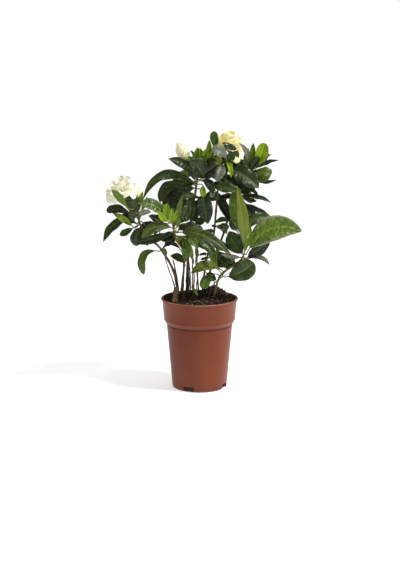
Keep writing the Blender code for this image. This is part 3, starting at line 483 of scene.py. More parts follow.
class Shader:
    """A Principled material, and short calls for the nodes that feed it."""

    def __init__(self, name):
        self.material = bpy.data.materials.new(name)
        self.material.use_nodes = True
        self.tree = self.material.node_tree
        self.surface = self.tree.nodes["Principled BSDF"]

    def set(self, **values):
        for name, value in values.items():
            self.surface.inputs[name.replace("_", " ")].default_value = value
        return self

    def feed(self, name, output):
        self.tree.links.new(output, self.surface.inputs[name])

    def node(self, kind, **settings):
        node = self.tree.nodes.new(kind)
        for name, value in settings.items():
            setattr(node, name, value)
        return node

    def put(self, node, values):
        for socket, value in zip(node.inputs, values):
            if isinstance(value, bpy.types.NodeSocket):
                self.tree.links.new(value, socket)
            elif value is not None:
                socket.default_value = value
        return node.outputs[0]

    def math(self, operation, *values):
        return self.put(self.node("ShaderNodeMath", operation=operation), values)

    def plus(self, first, second):
        return self.math("ADD", first, second)

    def times(self, first, second):
        return self.math("MULTIPLY", first, second)

    def scaled(self, value, scale, offset):
        return self.math("MULTIPLY_ADD", value, scale, offset)

    def ramp(self, value, low, high, start=0.0, end=1.0):
        """value from low to high, mapped smoothly to start to end."""
        node = self.node("ShaderNodeMapRange", interpolation_type="SMOOTHSTEP")
        return self.put(node, (value, low, high, start, end))

    def mix(self, factor, first, second):
        node = self.node("ShaderNodeMix", data_type="RGBA")
        for name, value in (("Factor_Float", factor), ("A_Color", first), ("B_Color", second)):
            socket = next(item for item in node.inputs if item.identifier == name)
            if isinstance(value, bpy.types.NodeSocket):
                self.tree.links.new(value, socket)
            else:
                socket.default_value = value
        return next(item for item in node.outputs if item.identifier == "Result_Color")

    def noise(self, scale, detail, stretch=(1, 1, 1)):
        place = self.node("ShaderNodeTexCoord").outputs["Object"]
        mapping = self.node("ShaderNodeMapping")
        self.tree.links.new(place, mapping.inputs["Vector"])
        mapping.inputs["Scale"].default_value = stretch
        texture = self.node("ShaderNodeTexNoise")
        self.tree.links.new(mapping.outputs["Vector"], texture.inputs["Vector"])
        texture.inputs["Scale"].default_value = scale
        texture.inputs["Detail"].default_value = detail
        return texture.outputs[0]

    def attribute(self, name):
        return self.node("ShaderNodeAttribute", attribute_name=name).outputs["Fac"]

    def blade_place(self):
        """(along, distance from the rib) on a blade, both 0 to 1."""
        split = self.node("ShaderNodeSeparateXYZ")
        self.tree.links.new(self.node("ShaderNodeUVMap", uv_map="blade").outputs["UV"], split.inputs[0])
        off_rib = self.math("ABSOLUTE", self.math("MULTIPLY_ADD", split.outputs[1], 2.0, -1.0))
        return split.outputs[0], off_rib

    def veins(self):
        """(rib, side veins) as masks that are 1 on the vein."""
        along, off_rib = self.blade_place()
        rib = self.ramp(off_rib, 0.03, 0.12, 1.0, 0.0)
        bent = self.math("MULTIPLY", self.math("POWER", off_rib, 1.35), 0.85)
        wobble = self.math("MULTIPLY", self.noise(70, 2), 0.25)
        count = self.math("MULTIPLY_ADD", along, float(VEINS) * 1.08, wobble)
        phase = self.math("FRACT", self.math("SUBTRACT", count, bent))
        from_line = self.math("ABSOLUTE", self.math("SUBTRACT", phase, 0.5))
        side = self.ramp(from_line, 0.40, 0.49)
        fade = self.ramp(off_rib, 0.75, 0.98, 1.0, 0.0)
        return rib, self.math("MULTIPLY", side, fade)

    def bump(self, height, strength, distance):
        node = self.node("ShaderNodeBump")
        node.inputs["Strength"].default_value = strength
        node.inputs["Distance"].default_value = distance
        self.tree.links.new(height, node.inputs["Height"])
        self.feed("Normal", node.outputs["Normal"])


def leaf_material(name, colours, roughness, vein_strength, margin_and_sheen_strength, coat=0.0, crinkle=0.3,
                  margin_from=0.72, under=False):
    """One side of a leaf, from its deep and bright colours and those of its veins and its margin; on the
    glossy upper side the broad pale margin is a painted sheen.
    """
    deep, bright, vein, margin = (srgb(*colour) for colour in colours)
    made = Shader(name).set(Roughness=roughness, Coat_Weight=coat, Coat_Roughness=0.18,
                            Specular_IOR_Level=0.36)
    _, off_rib = made.blade_place()
    rib, side = made.veins()
    blotch = made.noise(55, 4)
    fine = made.noise(420, 2)
    tone = made.attribute("tone")
    level = made.plus(made.scaled(tone, 0.38, 0.10), made.times(blotch, 0.75))
    level = made.plus(level, made.scaled(fine, 0.16, -0.08))
    base = made.mix(made.ramp(level, 0.05, 0.95), deep, bright)
    # the margin colour: on the glossy upper side a painted sheen, on the other sides the leaf's own paler
    # margin
    edged = made.mix(made.times(made.ramp(off_rib, margin_from, 1.0), margin_and_sheen_strength), base, margin)
    lined = made.mix(made.times(side, vein_strength), edged, vein)
    ribbed = made.mix(made.times(rib, min(1.0, 2.0 * vein_strength)), lined, vein)
    made.feed("Base Color", ribbed)
    made.feed("Roughness", made.scaled(blotch, 0.22, roughness - 0.11))
    relief = made.plus(made.times(side, 0.8 if under else -0.8), made.times(fine, 0.35))
    blisters = made.times(made.noise(170, 2), made.ramp(off_rib, 0.55, 0.85, crinkle, 0.1 * crinkle))
    made.bump(made.plus(relief, blisters), min(1.0, 0.5 + 0.2 * crinkle), 0.0006 + 0.0004 * crinkle)
    return made.material


def petal_material(name, deep, bright, tip):
    # Emission Strength makes the petals glow with their own colour: painted light
    made = Shader(name).set(Roughness=0.55, Sheen_Weight=0.1, Sheen_Roughness=0.4, Emission_Strength=0.13)
    along, _ = made.blade_place()
    streak = made.noise(9, 4)
    tone = made.attribute("tone")
    level = made.plus(made.times(along, 0.7), made.scaled(tone, 0.3, 0.1))
    level = made.plus(level, made.scaled(streak, 0.5, -0.25))
    base = made.mix(made.ramp(level, 0.0, 0.9), deep, bright)
    edged = made.mix(made.times(made.ramp(along, 0.85, 1.0), 0.25), base, tip)
    made.feed("Base Color", edged)
    made.feed("Emission Color", edged)  # a painted glow: the petals emit their own colour, in place of the light that thin petals let through
    fine = made.noise(600, 3, (1, 1, 0.3))
    made.feed("Roughness", made.scaled(fine, 0.2, 0.45))
    made.bump(fine, 0.25, 0.0004)
    return made.material


def bark_material(name, old, grown, young, cracks):
    """Woody at tone 0, green at tone 1."""
    made = Shader(name).set(Roughness=0.75)
    tone = made.attribute("tone")
    streaks = made.noise(160, 5, (1, 1, 0.22))
    patches = made.noise(45, 3)
    age = made.plus(made.times(streaks, 0.7), made.times(patches, 0.5))
    wood = made.mix(made.ramp(age, 0.35, 0.9), old, grown)
    green = made.ramp(made.plus(tone, made.scaled(patches, 0.5, -0.25)), 0.35, 0.85)
    made.feed("Base Color", made.mix(green, wood, young))
    made.feed("Roughness", made.scaled(green, -0.3, 0.8))
    made.bump(streaks, cracks, 0.0008)
    return made.material


def pot_material():
    """Terracotta-coloured plastic: scuffed, dusty at the rim, soiled at the foot and stained inside, with a
    painted shade line in the crease under the band.
    """
    made = Shader("pot_plastic_satin").set(Roughness=0.42, Specular_IOR_Level=0.28)
    place = made.node("ShaderNodeSeparateXYZ")
    made.tree.links.new(made.node("ShaderNodeTexCoord").outputs["Object"], place.inputs[0])
    height = place.outputs["Z"]
    cloud = made.noise(14, 4)
    streak = made.noise(30, 4, (1, 1, 0.12))
    speck = made.noise(340, 3)
    level = made.plus(made.times(cloud, 0.6), made.times(streak, 0.4))
    plastic = made.mix(made.ramp(level, 0.3, 0.7), srgb(114, 49, 23), srgb(127, 58, 29))
    scuffed = made.mix(made.times(made.ramp(speck, 0.62, 0.74), 0.26), plastic, srgb(140, 84, 60))
    # painted shade: a dark line in the crease under the band's foot, where the band's shadow falls
    under_band_shade = made.times(made.ramp(height, 0.1080, 0.1092), made.ramp(height, 0.1112, 0.1124, 1.0, 0.0))
    crease_shaded = made.mix(made.times(under_band_shade, 0.65), scuffed, srgb(62, 30, 20))
    worn = made.ramp(made.noise(120, 4), 0.30, 0.60, 0.35, 1.0)
    rim = made.times(made.ramp(height, 0.1524, 0.1538), worn)
    dusty = made.mix(made.times(rim, 0.75), crease_shaded, srgb(196, 150, 122))
    splash = made.times(made.ramp(height, 0.132, 0.152), made.ramp(made.noise(260, 2), 0.66, 0.72))
    dirty = made.mix(made.times(splash, 0.5), dusty, srgb(70, 44, 32))
    foot = made.times(made.ramp(height, 0.020, 0.0, 0.0, 1.0), made.ramp(cloud, 0.35, 0.65))
    soiled = made.mix(made.times(foot, 0.35), dirty, srgb(96, 56, 42))
    flat = made.node("ShaderNodeCombineXYZ")
    for side in "XY":
        made.tree.links.new(place.outputs[side], flat.inputs[side])
    radius = made.node("ShaderNodeVectorMath", operation="LENGTH")
    made.tree.links.new(flat.outputs[0], radius.inputs[0])
    from_axis = made.scaled(height, -0.0746, radius.outputs["Value"])  # less the wall's slope
    inside = made.times(made.ramp(from_axis, 0.0500, 0.0508, 1.0, 0.0), made.ramp(height, 0.118, 0.126))
    stained = made.times(inside, made.ramp(made.noise(90, 4), 0.30, 0.55, 0.6, 0.95))
    made.feed("Base Color", made.mix(stained, soiled, srgb(44, 28, 18)))
    made.feed("Roughness", made.scaled(speck, 0.2, 0.32))
    made.bump(made.plus(made.times(speck, 0.5), streak), 0.08, 0.0005)
    return made.material


def soil_material(name, dark, light, fleck):
    """Compost: the tone attribute picks a crumb's colour between dark and light."""
    made = Shader(name).set(Roughness=0.92)
    tone = made.attribute("tone")
    grain = made.noise(520, 5)
    lump = made.noise(130, 3)
    level = made.plus(made.times(grain, 0.6), made.times(lump, 0.3))
    level = made.plus(level, made.scaled(tone, 0.9, -0.35))
    base = made.mix(made.ramp(level, 0.2, 0.9), dark, light)
    made.feed("Base Color", made.mix(made.ramp(level, 0.95, 1.15), base, fleck))
    made.bump(made.plus(grain, lump), 0.9, 0.0015)
    return made.material


# the deep, bright, vein and margin colours of a leaf's side, its roughness, the strength of its veins and of
# its margin and, for an upper side, its coat, its crinkle and where the margin starts
UPPER_SIDES = {
    "dark": (((16, 25, 4), (50, 68, 14), (84, 102, 40), (66, 82, 30)), 0.36, 0.30, 0.30, 0.06, 0.5),
    "mid": (((38, 56, 6), (80, 106, 18), (112, 132, 50), (98, 118, 42)), 0.36, 0.34, 0.3, 0.06, 0.4),
    "olive": (((50, 66, 20), (112, 124, 36), (124, 136, 66), (98, 112, 54)), 0.40, 0.32, 0.35, 0.0, 0.4),
    # glossy: the strong, broad greyish margin is a painted sheen, for the sky reflected on the curved-down
    # edges
    "glossy": (((56, 84, 0), (108, 141, 4), (138, 158, 58), (126, 136, 84)), 0.30, 0.34, 1.0, 0.35, 2.6, 0.4),
    "young": (((78, 108, 2), (138, 168, 10), (164, 188, 48), (142, 168, 32)), 0.38, 0.30, 0.3, 0.0, 0.4),
    "grey": (((62, 70, 48), (118, 124, 104), (148, 154, 134), (112, 120, 98)), 0.38, 0.40, 0.3, 0.15),
}
UNDER_SIDES = {
    "dark": (((62, 78, 44), (92, 108, 64), (126, 138, 92), (84, 98, 58)), 0.55, 0.5, 0.2),
    "mid": (((78, 100, 48), (108, 132, 70), (144, 160, 100), (100, 122, 64)), 0.55, 0.5, 0.2),
    "olive": (((96, 112, 62), (128, 142, 86), (156, 166, 112), (118, 132, 78)), 0.55, 0.5, 0.2),
    "glossy": (((88, 118, 46), (120, 150, 72), (156, 178, 108), (112, 140, 68)), 0.5, 0.5, 0.2),
    "young": (((118, 150, 44), (158, 186, 76), (184, 204, 110), (150, 178, 70)), 0.5, 0.4, 0.2),
    "grey": (((92, 102, 82), (128, 138, 116), (150, 158, 140), (118, 128, 106)), 0.5, 0.5, 0.2),
}
LEAF_TOPS = {colour: leaf_material(f"leaf_{colour}_top", *look) for colour, look in UPPER_SIDES.items()}
LEAF_UNDERS = {colour: leaf_material(f"leaf_{colour}_under", *look, under=True)
               for colour, look in UNDER_SIDES.items()}
BARK = bark_material("bark", srgb(38, 26, 16), srgb(124, 98, 64), srgb(124, 118, 62), 0.9)
STALK = bark_material("petiole", srgb(70, 72, 36), srgb(110, 116, 56), srgb(140, 156, 62), 0.15)
WHITE = petal_material("petal_white", srgb(232, 228, 198), srgb(247, 245, 228), srgb(240, 235, 204))
YELLOW = petal_material("petal_yellow", srgb(238, 226, 156), srgb(248, 241, 192), srgb(243, 232, 168))
CREAM = petal_material("petal_cream", srgb(228, 220, 158), srgb(242, 237, 196), srgb(238, 230, 170))


# ---------------------------------------------------------------- stems and leaves

stem_points = []  # all along the stems, for the petioles to grow from


def make_stem(name, foot_radius, top_radius, points, node=None):
    chance = random.Random(name)
    path = smooth_path(points, 9)
    run = np.concatenate([[0], np.cumsum(np.linalg.norm(np.diff(path, axis=0), axis=1))])
    radii = foot_radius + (top_radius - foot_radius) * run / run[-1]
    at = chance.uniform(12, 22)
    while at < run[-1]:
        radii = radii * (1 + 0.28 * np.exp(-(((run - at) / 2.2) ** 2)))
        at += chance.uniform(16, 27)
    wobble = np.array([noise.noise(Vector(place) * 0.09) for place in path])
    radii = radii * (1 + 0.12 * wobble)
    radii[-1] *= 0.6
    cloud = Cloud()
    tube, faces = sweep(path, radii, 14)
    height = tube[:, 2]
    cloud.add(tube, faces, tone=np.clip((height - 219) / 190, TONES.get(name, 0), 1) * 0.9)
    stem_points.extend(path)
    cloud.piece(f"{name}_bark", [BARK], node)


def add_petiole(cloud, base, middle):
    """Joins a leaf's base to the nearest stem with a short curved stalk."""
    base = np.array(base, float)
    stems = np.array(stem_points)
    gaps = np.linalg.norm(stems - base, axis=1)
    nearest = int(gaps.argmin())
    root = stems[nearest]
    away = unit(np.array(middle, float) - base)
    inside = base + 2.5 * away
    bend = base - 0.16 * max(gaps[nearest], 1.0) * away
    path = smooth_path([root, (root + 2 * bend) / 3, base, inside], 5)
    radii = np.linspace(1.15, 0.8, len(path)) * PETIOLE_RADIUS
    radii[-1] *= 0.4
    tube, faces = sweep(path, radii, 8)
    cloud.add(tube, faces, tone=0.6, material=2)


def make_leaf(name, kind, shape, width, base, middle, tip, face, node=None):
    """A blade and its petiole as one piece."""
    if np.isscalar(face):
        face = (*FRONT, face)
    cloud = Cloud()
    chance = random.Random(name)
    tone = TONES.get(name, chance.uniform(-1, 1))
    blade(cloud, width, base, middle, tip, face, SHAPES[shape], FORMS[kind], tone, chance,
          twist=chance.uniform(-0.35, 0.35))
    add_petiole(cloud, base, middle)
    cloud.piece(name, [LEAF_TOPS[kind], LEAF_UNDERS[kind], STALK], node)


def make_plant():
    for name, foot_radius, top_radius, points in CANES:
        make_stem(name, foot_radius, top_radius, points, name)
    for name, foot_radius, top_radius, points in TWIGS:
        make_stem(name, foot_radius, top_radius, points)
    for name, *leaf in LEAVES:
        make_leaf(f"{name}_blade", *leaf, node=name)
    for family, leaves in MORE_LEAVES.items():
        for number, leaf in enumerate(leaves):
            make_leaf(f"more_{family}_{number + 1}", *leaf)
    for tuft, leaves in TUFTS.items():
        for number, leaf in enumerate(leaves):
            make_leaf(f"{tuft}_blade_{number + 1}", *leaf, node=tuft if number == 0 else None)


# ---------------------------------------------------------------- flowers


def across_axis(axis, angle):
    """A unit vector at right angles to the axis, turned about it."""
    axis = np.array(axis, float)
    first = unit(np.cross(axis, (0.1, 0.9, 0.3)))
    second = np.cross(axis, first)
    return math.cos(angle) * first + math.sin(angle) * second


PETAL_SHAPE = (1.2, 0.40)
HANGING_FORM = (-0.05, 0.1, 0.0, 0.12)
PETAL_GRID = {"steps": 26, "across": 16, "thickness": 0.5, "stalk": 0.02}


def whorl(cloud, centre, axis, count, length, width, lean, curl, turn, droop, ruffle, chance):
    """Petals in a ring: lean is a petal's angle from the axis at its foot, curl what it gains by its tip."""
    axis = unit(np.array(axis, float))
    centre = np.array(centre, float)
    for number in range(count):
        angle = turn + 2 * math.pi * number / count + chance.uniform(-0.22, 0.22)
        out = across_axis(axis, angle)
        start = math.radians(lean + chance.uniform(-9, 9))
        end = start + math.radians(curl + chance.uniform(-14, 14))
        reach = length * chance.uniform(0.86, 1.1)
        foot = centre + 1.2 * out
        middle = foot + 0.55 * reach * (math.cos(start) * axis + math.sin(start) * out)
        tip = middle + 0.5 * reach * (math.cos(end) * axis + math.sin(end) * out)
        tip = tip - np.array((0, 0, droop * chance.uniform(0.4, 1.0)))
        face = math.sin(start) * axis - math.cos(start) * out
        blade(cloud, width * chance.uniform(0.85, 1.12), foot, middle, tip, face, PETAL_SHAPE,
              (-0.05, -0.34, 0.0, ruffle), chance.uniform(-1, 1), chance,
              twist=chance.uniform(-0.5, 0.5), ruffles=chance.uniform(2.5, 4.5), **PETAL_GRID)


# slot, material, centre, axis and ruffle; for each CAD node its whorls (petals, length, width, lean, curl,
# turn, droop); and the petals that hang from the outer ring (width, base, middle, tip, facing, tone)
BLOOMS = [
    ("petal_white", WHITE, (-126, -41, 337), (-0.28, -0.38, 1), 0.16, {
        "white_bloom_outer": [(7, 23, 18, 80, 22, 0.0, 3.0), (7, 24, 18, 60, 20, 0.45, 0.0)],
        "white_bloom_middle": [(7, 26, 17, 42, 22, 0.2, 0.0), (6, 26, 16, 28, 18, 0.7, 0.0)],
        "white_bloom_heart": [(6, 24, 13, 16, 14, 0.1, 0.0), (5, 22, 11, 7, 4, 0.5, 0.0)],
    }, [
        (15, (-133, -40, 339), (-146, -39, 337), (-147, -38, 320), (-0.6, -1, 0.6), None),
        (13, (-130, -46, 338), (-137, -56, 338), (-137, -60, 322), (-0.2, -1, 0.5), None),
        (11, (-122, -44, 336), (-112, -46, 338), (-105, -42, 329), (0.3, -1, 0.8), None),
    ]),
    ("petal_yellow", YELLOW, (48, 20, 401), (0.1, -0.12, 1), 0.07, {
        "yellow_bloom_outer": [(7, 23, 24, 72, 10, 0.3, 2.0), (7, 27, 24, 48, 12, 0.9, 0.0)],
        "yellow_bloom_heart": [(7, 29, 22, 28, 10, 0.2, 0.0), (6, 29, 18, 12, 4, 0.6, 0.0)],
    }, [
        (14, (52, 10, 404), (60, 4, 399), (61.5, 2, 381), (0.3, -1, 0.2), 0.0),
    ]),
]


def make_blooms():
    chance = random.Random(11)
    for slot, material, centre, axis, ruffle, rings, hanging in BLOOMS:
        for node, whorls in rings.items():
            cloud = Cloud()
            for whorl_sizes in whorls:
                whorl(cloud, centre, axis, *whorl_sizes, ruffle, chance)
            for width, base, middle, tip, face, tone in hanging if node.endswith("_outer") else ():
                tone = chance.uniform(-1, 1) if tone is None else tone
                blade(cloud, width, base, middle, tip, face, PETAL_SHAPE, HANGING_FORM, tone, chance,
                      **PETAL_GRID)
            cloud.piece(f"{node}_petals", [material, material], node)


def wrapped_petal(cloud, foot, tip, radius, angle, span, top, spiral, swell):
    """A petal wrapped round a bud: a patch of the bud's own surface, from its foot to its own tip."""
    foot, tip = np.array(foot, float), np.array(tip, float)
    axis = unit(tip - foot)
    length = np.linalg.norm(tip - foot)
    steps, across = 30, 20
    t = np.linspace(0, 1, steps + 1)[:, None]
    s = np.linspace(-1, 1, across + 1)[None, :]
    broad = np.clip(np.sin(math.pi * t**0.75) ** 0.55, 0.05, 1)
    around = angle + spiral * t + s * span * broad
    up = t * top * (1 - 0.05 * s * s)
    outline = np.sin(math.pi * np.clip(up, 0, 1) ** 0.80) ** 0.72 * 0.97 + 0.03 * (1 - up)
    reach = radius * outline * (1 + swell + 0.035 * np.abs(s) ** 3)
    first, second = across_axis(axis, 0), across_axis(axis, math.pi / 2)
    out = np.cos(around)[..., None] * first + np.sin(around)[..., None] * second
    outer = foot + (up * length)[..., None] * axis + reach[..., None] * out
    inner = foot + (up * length)[..., None] * axis + (np.maximum(reach - 0.6, 0.05))[..., None] * out
    points, faces, material = grid_solid(outer, inner)
    cloud.add(points, faces, blade_uv(t, s), 0.4 * math.sin(3 * angle), material)


# each one's CAD node, slot, material, foot, tip, radius and spiral
BUDS = [
    ("cream_bud", "petal_cream", CREAM, (-21, -10, 389), (-37, -13, 418), 9.8, 1.3),
    ("yellow_bud", "petal_yellow", YELLOW, (-103, -31, 327), (-100, -34, 348), 5.6, 1.0),
]
BUD_PETALS = 6


def make_buds():
    for node, slot, material, foot, tip, radius, spiral in BUDS:
        cloud = Cloud()
        for number in range(BUD_PETALS):
            top = 1.0 if number < 3 else 0.97 - 0.045 * (number - 3)
            span = 1.25 if number > 2 else 1.5
            wrapped_petal(cloud, foot, tip, radius, 2.1 * number + 0.4, span, top, spiral,
                          0.035 * number - 0.12)
        cloud.piece(f"{node}_petals", [material, material], node)


# each one's CAD node, points, radii at the points, axis at its mouth, the mouth's centre and radius, and the
# length of its sepals
STALKS = [
    ("cream_bud_stalk", [(-3, -6, 376), (-12, -9, 380), (-17, -9.5, 384), (-21, -10, 391)],
     [1.2, 1.3, 3.0, 4.6], (-0.35, -0.05, 1), (-21, -10, 389), 5.0, 14),
    ("white_bloom_stalk", [(-102, -29, 324), (-113, -35, 329), (-121, -40, 332), (-125.5, -41, 339)],
     [1.2, 1.5, 2.8, 4.0], (-0.2, -0.25, 1), (-125, -41, 337), 4.4, 13),
]
SEPALS = 6
SEPAL_WIDTH = 3.2


def make_stalks():
    """Ribbed green calyxes with their long sepals, below the cream bud and the white bloom."""
    for node, points, radii, axis, mouth, ring, sepal in STALKS:
        cloud = Cloud()
        path = smooth_path(points, 8)
        grown = np.interp(np.linspace(0, 1, len(path)), np.linspace(0, 1, len(radii)), radii)
        tube, faces = sweep(path, grown, 36, 6, 0.10)
        cloud.add(tube, faces, tone=0.9, material=2)
        axis = unit(np.array(axis, float))
        chance = random.Random(node)
        for number in range(SEPALS):
            out = across_axis(axis, 2 * math.pi * number / SEPALS + 0.3)
            foot = np.array(mouth) + ring * 0.8 * out
            middle = foot + 0.5 * sepal * axis + 0.22 * sepal * out
            end = foot + sepal * axis * 0.9 + 0.6 * sepal * out
            blade(cloud, SEPAL_WIDTH, foot, middle, end, axis - out, SHAPES["lance"], FORMS["young"],
                  chance.uniform(-1, 1), chance, steps=20, across=6)
        cloud.piece(f"{node}_green", [LEAF_TOPS["young"], LEAF_UNDERS["young"], STALK], node)


# ---------------------------------------------------------------- pot and soil

DRAIN_COUNT = 4
DRAIN_FIRST_ANGLE = -113.6
DRAIN_WIDTH = 19.5
DRAIN_HEIGHT = 9.0
DRAIN_DEPTH = 12.0
DRAIN_CENTRE = 44.4  # from the pot's axis
DRAIN_CORNER = 2.2
POT_SEGMENTS = 160

SOIL_LEVEL = 150.0
SOIL_SWELL = 5.0
SOIL_REACH = 61.0  # the lumps die out before this radius
SOIL_WALL = 60.4
SOIL_RINGS = 66
SOIL_SEGMENTS = 200
SOIL_SIDE = ((60.2, 144), (58.0, 117), (53.4, 109), (44.4, 8), (41, 5))  # radius, height
MOUND_CENTRE = (26.0, 26.0)
MOUND_HEIGHT = 15.0
MOUND_SPREAD = 21.0
CRUMB_REACH = 59.0
# piece: count, sizes, flatness, tones, and the dark, light and fleck colours
CRUMBS = {
    "soil_crumbs": (620, (0.9, 2.2), 0.8, (0.0, 0.55), (24, 16, 8), (92, 66, 42), (134, 102, 68)),
    "soil_chips": (110, (1.6, 3.6), 0.45, (0.3, 0.9), (34, 22, 14), (96, 66, 44), (130, 98, 68)),
    "soil_flecks": (420, (0.4, 1.2), 0.8, (0.5, 1.0), (150, 116, 84), (206, 178, 140), (226, 206, 176)),
}


def arc(centre, radius, start, end, steps=5):
    """Points of an arc in (radius, height), angles in degrees from +X."""
    angles = np.radians(np.linspace(start, end, steps + 1))
    return [(centre[0] + radius * math.cos(angle), centre[1] + radius * math.sin(angle)) for angle in angles]


def pot_outline():
    """The pot's section, down its outside, from the floor's middle over the lip and back under."""
    return ([(0, 4.5), (42.0, 4.5)] + arc((42.2, 6.9), 2.3, -80, -8)
            + [(53.9, 108.6), (54.2, 110.0), (58.2, 116.4), (58.6, 118.0), (61.1, 151.5)]
            + arc((62.3, 152.8), 1.2, 180, 90) + arc((64.2, 153.2), 0.8, 90, 0)
            + arc((64.3, 151.8), 0.7, 0, -80) + arc((63.6, 150.3), 0.8, 90, 170)
            + [(60.3, 118.6)] + arc((59.3, 117.7), 1.0, 0, -60) + [(56.5, 110.4)]
            + [(55.2, 110.2), (54.9, 109.4)] + arc((54.6, 107.9), 0.9, 80, 0) + [(46.9, 9.0), (46.5, 5.0)]
            + arc((43.3, 3.2), 3.2, 0, -90, 8) + [(40.4, 0), (39.4, 2.5), (17, 2.5), (16, 0), (0, 0)])


def mesh_from(bm, name):
    mesh = bpy.data.meshes.new(name)
    bm.to_mesh(mesh)
    bm.free()
    return mesh


def linked(name, data):
    obj = bpy.data.objects.new(name, data)
    bpy.context.scene.collection.objects.link(obj)
    return obj


def turned_pot():
    """The pot's section spun about its axis, without its drain slots."""
    bm = bmesh.new()
    corners = [bm.verts.new((radius * MM, 0, height * MM)) for radius, height in pot_outline()]
    edges = [bm.edges.new(pair) for pair in zip(corners, corners[1:])]
    bmesh.ops.spin(bm, geom=corners + edges, axis=(0, 0, 1), cent=(0, 0, 0), angle=2 * math.pi,
                   steps=POT_SEGMENTS, use_merge=True)
    bmesh.ops.remove_doubles(bm, verts=bm.verts, dist=0.005 * MM)
    bmesh.ops.recalc_face_normals(bm, faces=bm.faces)
    return linked("pot_whole", mesh_from(bm, "pot_shell"))


def drain_cutter(angle):
    bm = bmesh.new()
    bmesh.ops.create_cube(bm, size=MM)
    bmesh.ops.scale(bm, verts=bm.verts, vec=(DRAIN_DEPTH, DRAIN_WIDTH, 2 * DRAIN_HEIGHT))
    bmesh.ops.bevel(bm, geom=bm.edges[:], offset=DRAIN_CORNER * MM, segments=4, affect="EDGES", profile=0.5)
    cutter = linked("drain", mesh_from(bm, "drain"))
    cutter.location = (DRAIN_CENTRE * MM * math.cos(angle), DRAIN_CENTRE * MM * math.sin(angle), 0)
    cutter.rotation_euler.z = angle
    return cutter


def make_pot():
    whole = turned_pot()
    cutters = [drain_cutter(math.radians(DRAIN_FIRST_ANGLE + 360 * number / DRAIN_COUNT))
               for number in range(DRAIN_COUNT)]
    for cutter in cutters:
        cut = whole.modifiers.new("drain", "BOOLEAN")
        cut.operation = "DIFFERENCE"
        cut.object = cutter
    graph = bpy.context.evaluated_depsgraph_get()
    done = bpy.data.meshes.new_from_object(whole.evaluated_get(graph))
    done.name = "pot_shell"
    for obj in [whole, *cutters]:
        bpy.data.objects.remove(obj, do_unlink=True)
    done.materials.clear()
    done.materials.append(pot_material())
    done.polygons.foreach_set("material_index", np.zeros(len(done.polygons), np.int32))
    done.shade_smooth()
    done.set_sharp_from_angle(angle=math.radians(34))
    give(bpy.data.objects.new("pot_shell", done), "pot")


def soil_height(x, y):
    """The compost's surface in mm, over its level at the pot's wall, as in the CAD solid but with crumbs."""
    radius = math.hypot(x, y)
    swell = SOIL_SWELL * max(0.0, 1 - (radius / 60) ** 2)
    from_mound = math.dist((x, y), MOUND_CENTRE)
    mound = MOUND_HEIGHT * math.exp(-((from_mound / MOUND_SPREAD) ** 2))
    lumps = 1.1 * math.sin(x / 5.3 + 1.7) * math.cos(y / 6.1) + 0.7 * math.sin(x / 2.9 - y / 3.7)
    place = Vector((x, y, 0))
    crumbs = 1.5 * noise.noise(place * 0.22) + 1.1 * noise.noise(place * 0.55)
    crumbs += 0.8 * abs(noise.noise(place * 1.1))
    return (swell + mound + lumps) * min(1.0, (SOIL_REACH - radius) / 12) + crumbs


def soil_ring(radius, height=None):
    """Points at this distance from the axis: at the height or, without one, on the compost's surface."""
    angles = np.arange(SOIL_SEGMENTS) * 2 * math.pi / SOIL_SEGMENTS
    places = [(radius * math.cos(angle), radius * math.sin(angle)) for angle in angles]
    return [(x, y, SOIL_LEVEL + soil_height(x, y) if height is None else height) for x, y in places]


def make_soil():
    rows = [soil_ring(SOIL_WALL * ring / SOIL_RINGS) for ring in range(1, SOIL_RINGS + 1)]
    rows += [soil_ring(radius, height) for radius, height in SOIL_SIDE]
    points = [(0, 0, SOIL_LEVEL + soil_height(0, 0))] + [place for row in rows for place in row] + [(0, 0, 5)]
    around = [(k, (k + 1) % SOIL_SEGMENTS) for k in range(SOIL_SEGMENTS)]
    faces = [(0, 1 + k, 1 + after) for k, after in around]
    for row in range(len(rows) - 1):
        start = 1 + row * SOIL_SEGMENTS
        below = start + SOIL_SEGMENTS
        faces += [(start + k, below + k, below + after, start + after) for k, after in around]
    last = 1 + (len(rows) - 1) * SOIL_SEGMENTS
    faces += [(len(points) - 1, last + after, last + k) for k, after in around]
    cloud = Cloud()
    cloud.add(points, faces, tone=0.1)
    compost = soil_material("compost", srgb(26, 17, 9), srgb(82, 58, 36), srgb(138, 104, 68))
    cloud.piece("soil_surface", [compost], "soil")


def turned(points, tilt, turn):
    """The points tilted about Y, then turned about Z."""
    lean = [[math.cos(tilt), 0, math.sin(tilt)], [0, 1, 0], [-math.sin(tilt), 0, math.cos(tilt)]]
    swing = [[math.cos(turn), math.sin(turn), 0], [-math.sin(turn), math.cos(turn), 0], [0, 0, 1]]
    return points @ np.array(lean) @ np.array(swing)


def make_crumbs():
    """Crumbs, bark chips and pale flecks scattered over the compost."""
    chance = random.Random(5)
    bm = bmesh.new()
    bmesh.ops.create_icosphere(bm, subdivisions=2, radius=1)
    ball = np.array([vert.co for vert in bm.verts])
    ball_faces = [[vert.index for vert in face.verts] for face in bm.faces]
    bm.free()
    for name, (count, sizes, flat, tones, *colours) in CRUMBS.items():
        cloud = Cloud()
        for number in range(count):
            radius = CRUMB_REACH * math.sqrt(chance.random())
            angle = chance.uniform(0, 2 * math.pi)
            x, y = radius * math.cos(angle), radius * math.sin(angle)
            size = chance.uniform(*sizes)
            scale = np.array((chance.uniform(0.7, 1.3), chance.uniform(0.6, 1.0),
                              flat * chance.uniform(0.6, 1.1)))
            turn, tilt = chance.uniform(0, 6.28), chance.uniform(-0.7, 0.7)
            shift = Vector((number * 1.7, 0.3, 0))
            rough = np.array([1 + 0.5 * noise.noise(Vector(place) * 1.3 + shift) for place in ball])
            body = turned(ball * rough[:, None] * scale * size, tilt, turn)
            height = SOIL_LEVEL + soil_height(x, y) + 0.25 * size
            cloud.add(body + (x, y, height), ball_faces, tone=chance.uniform(*tones))
        cloud.piece(name, [soil_material(name, *(srgb(*colour) for colour in colours))])


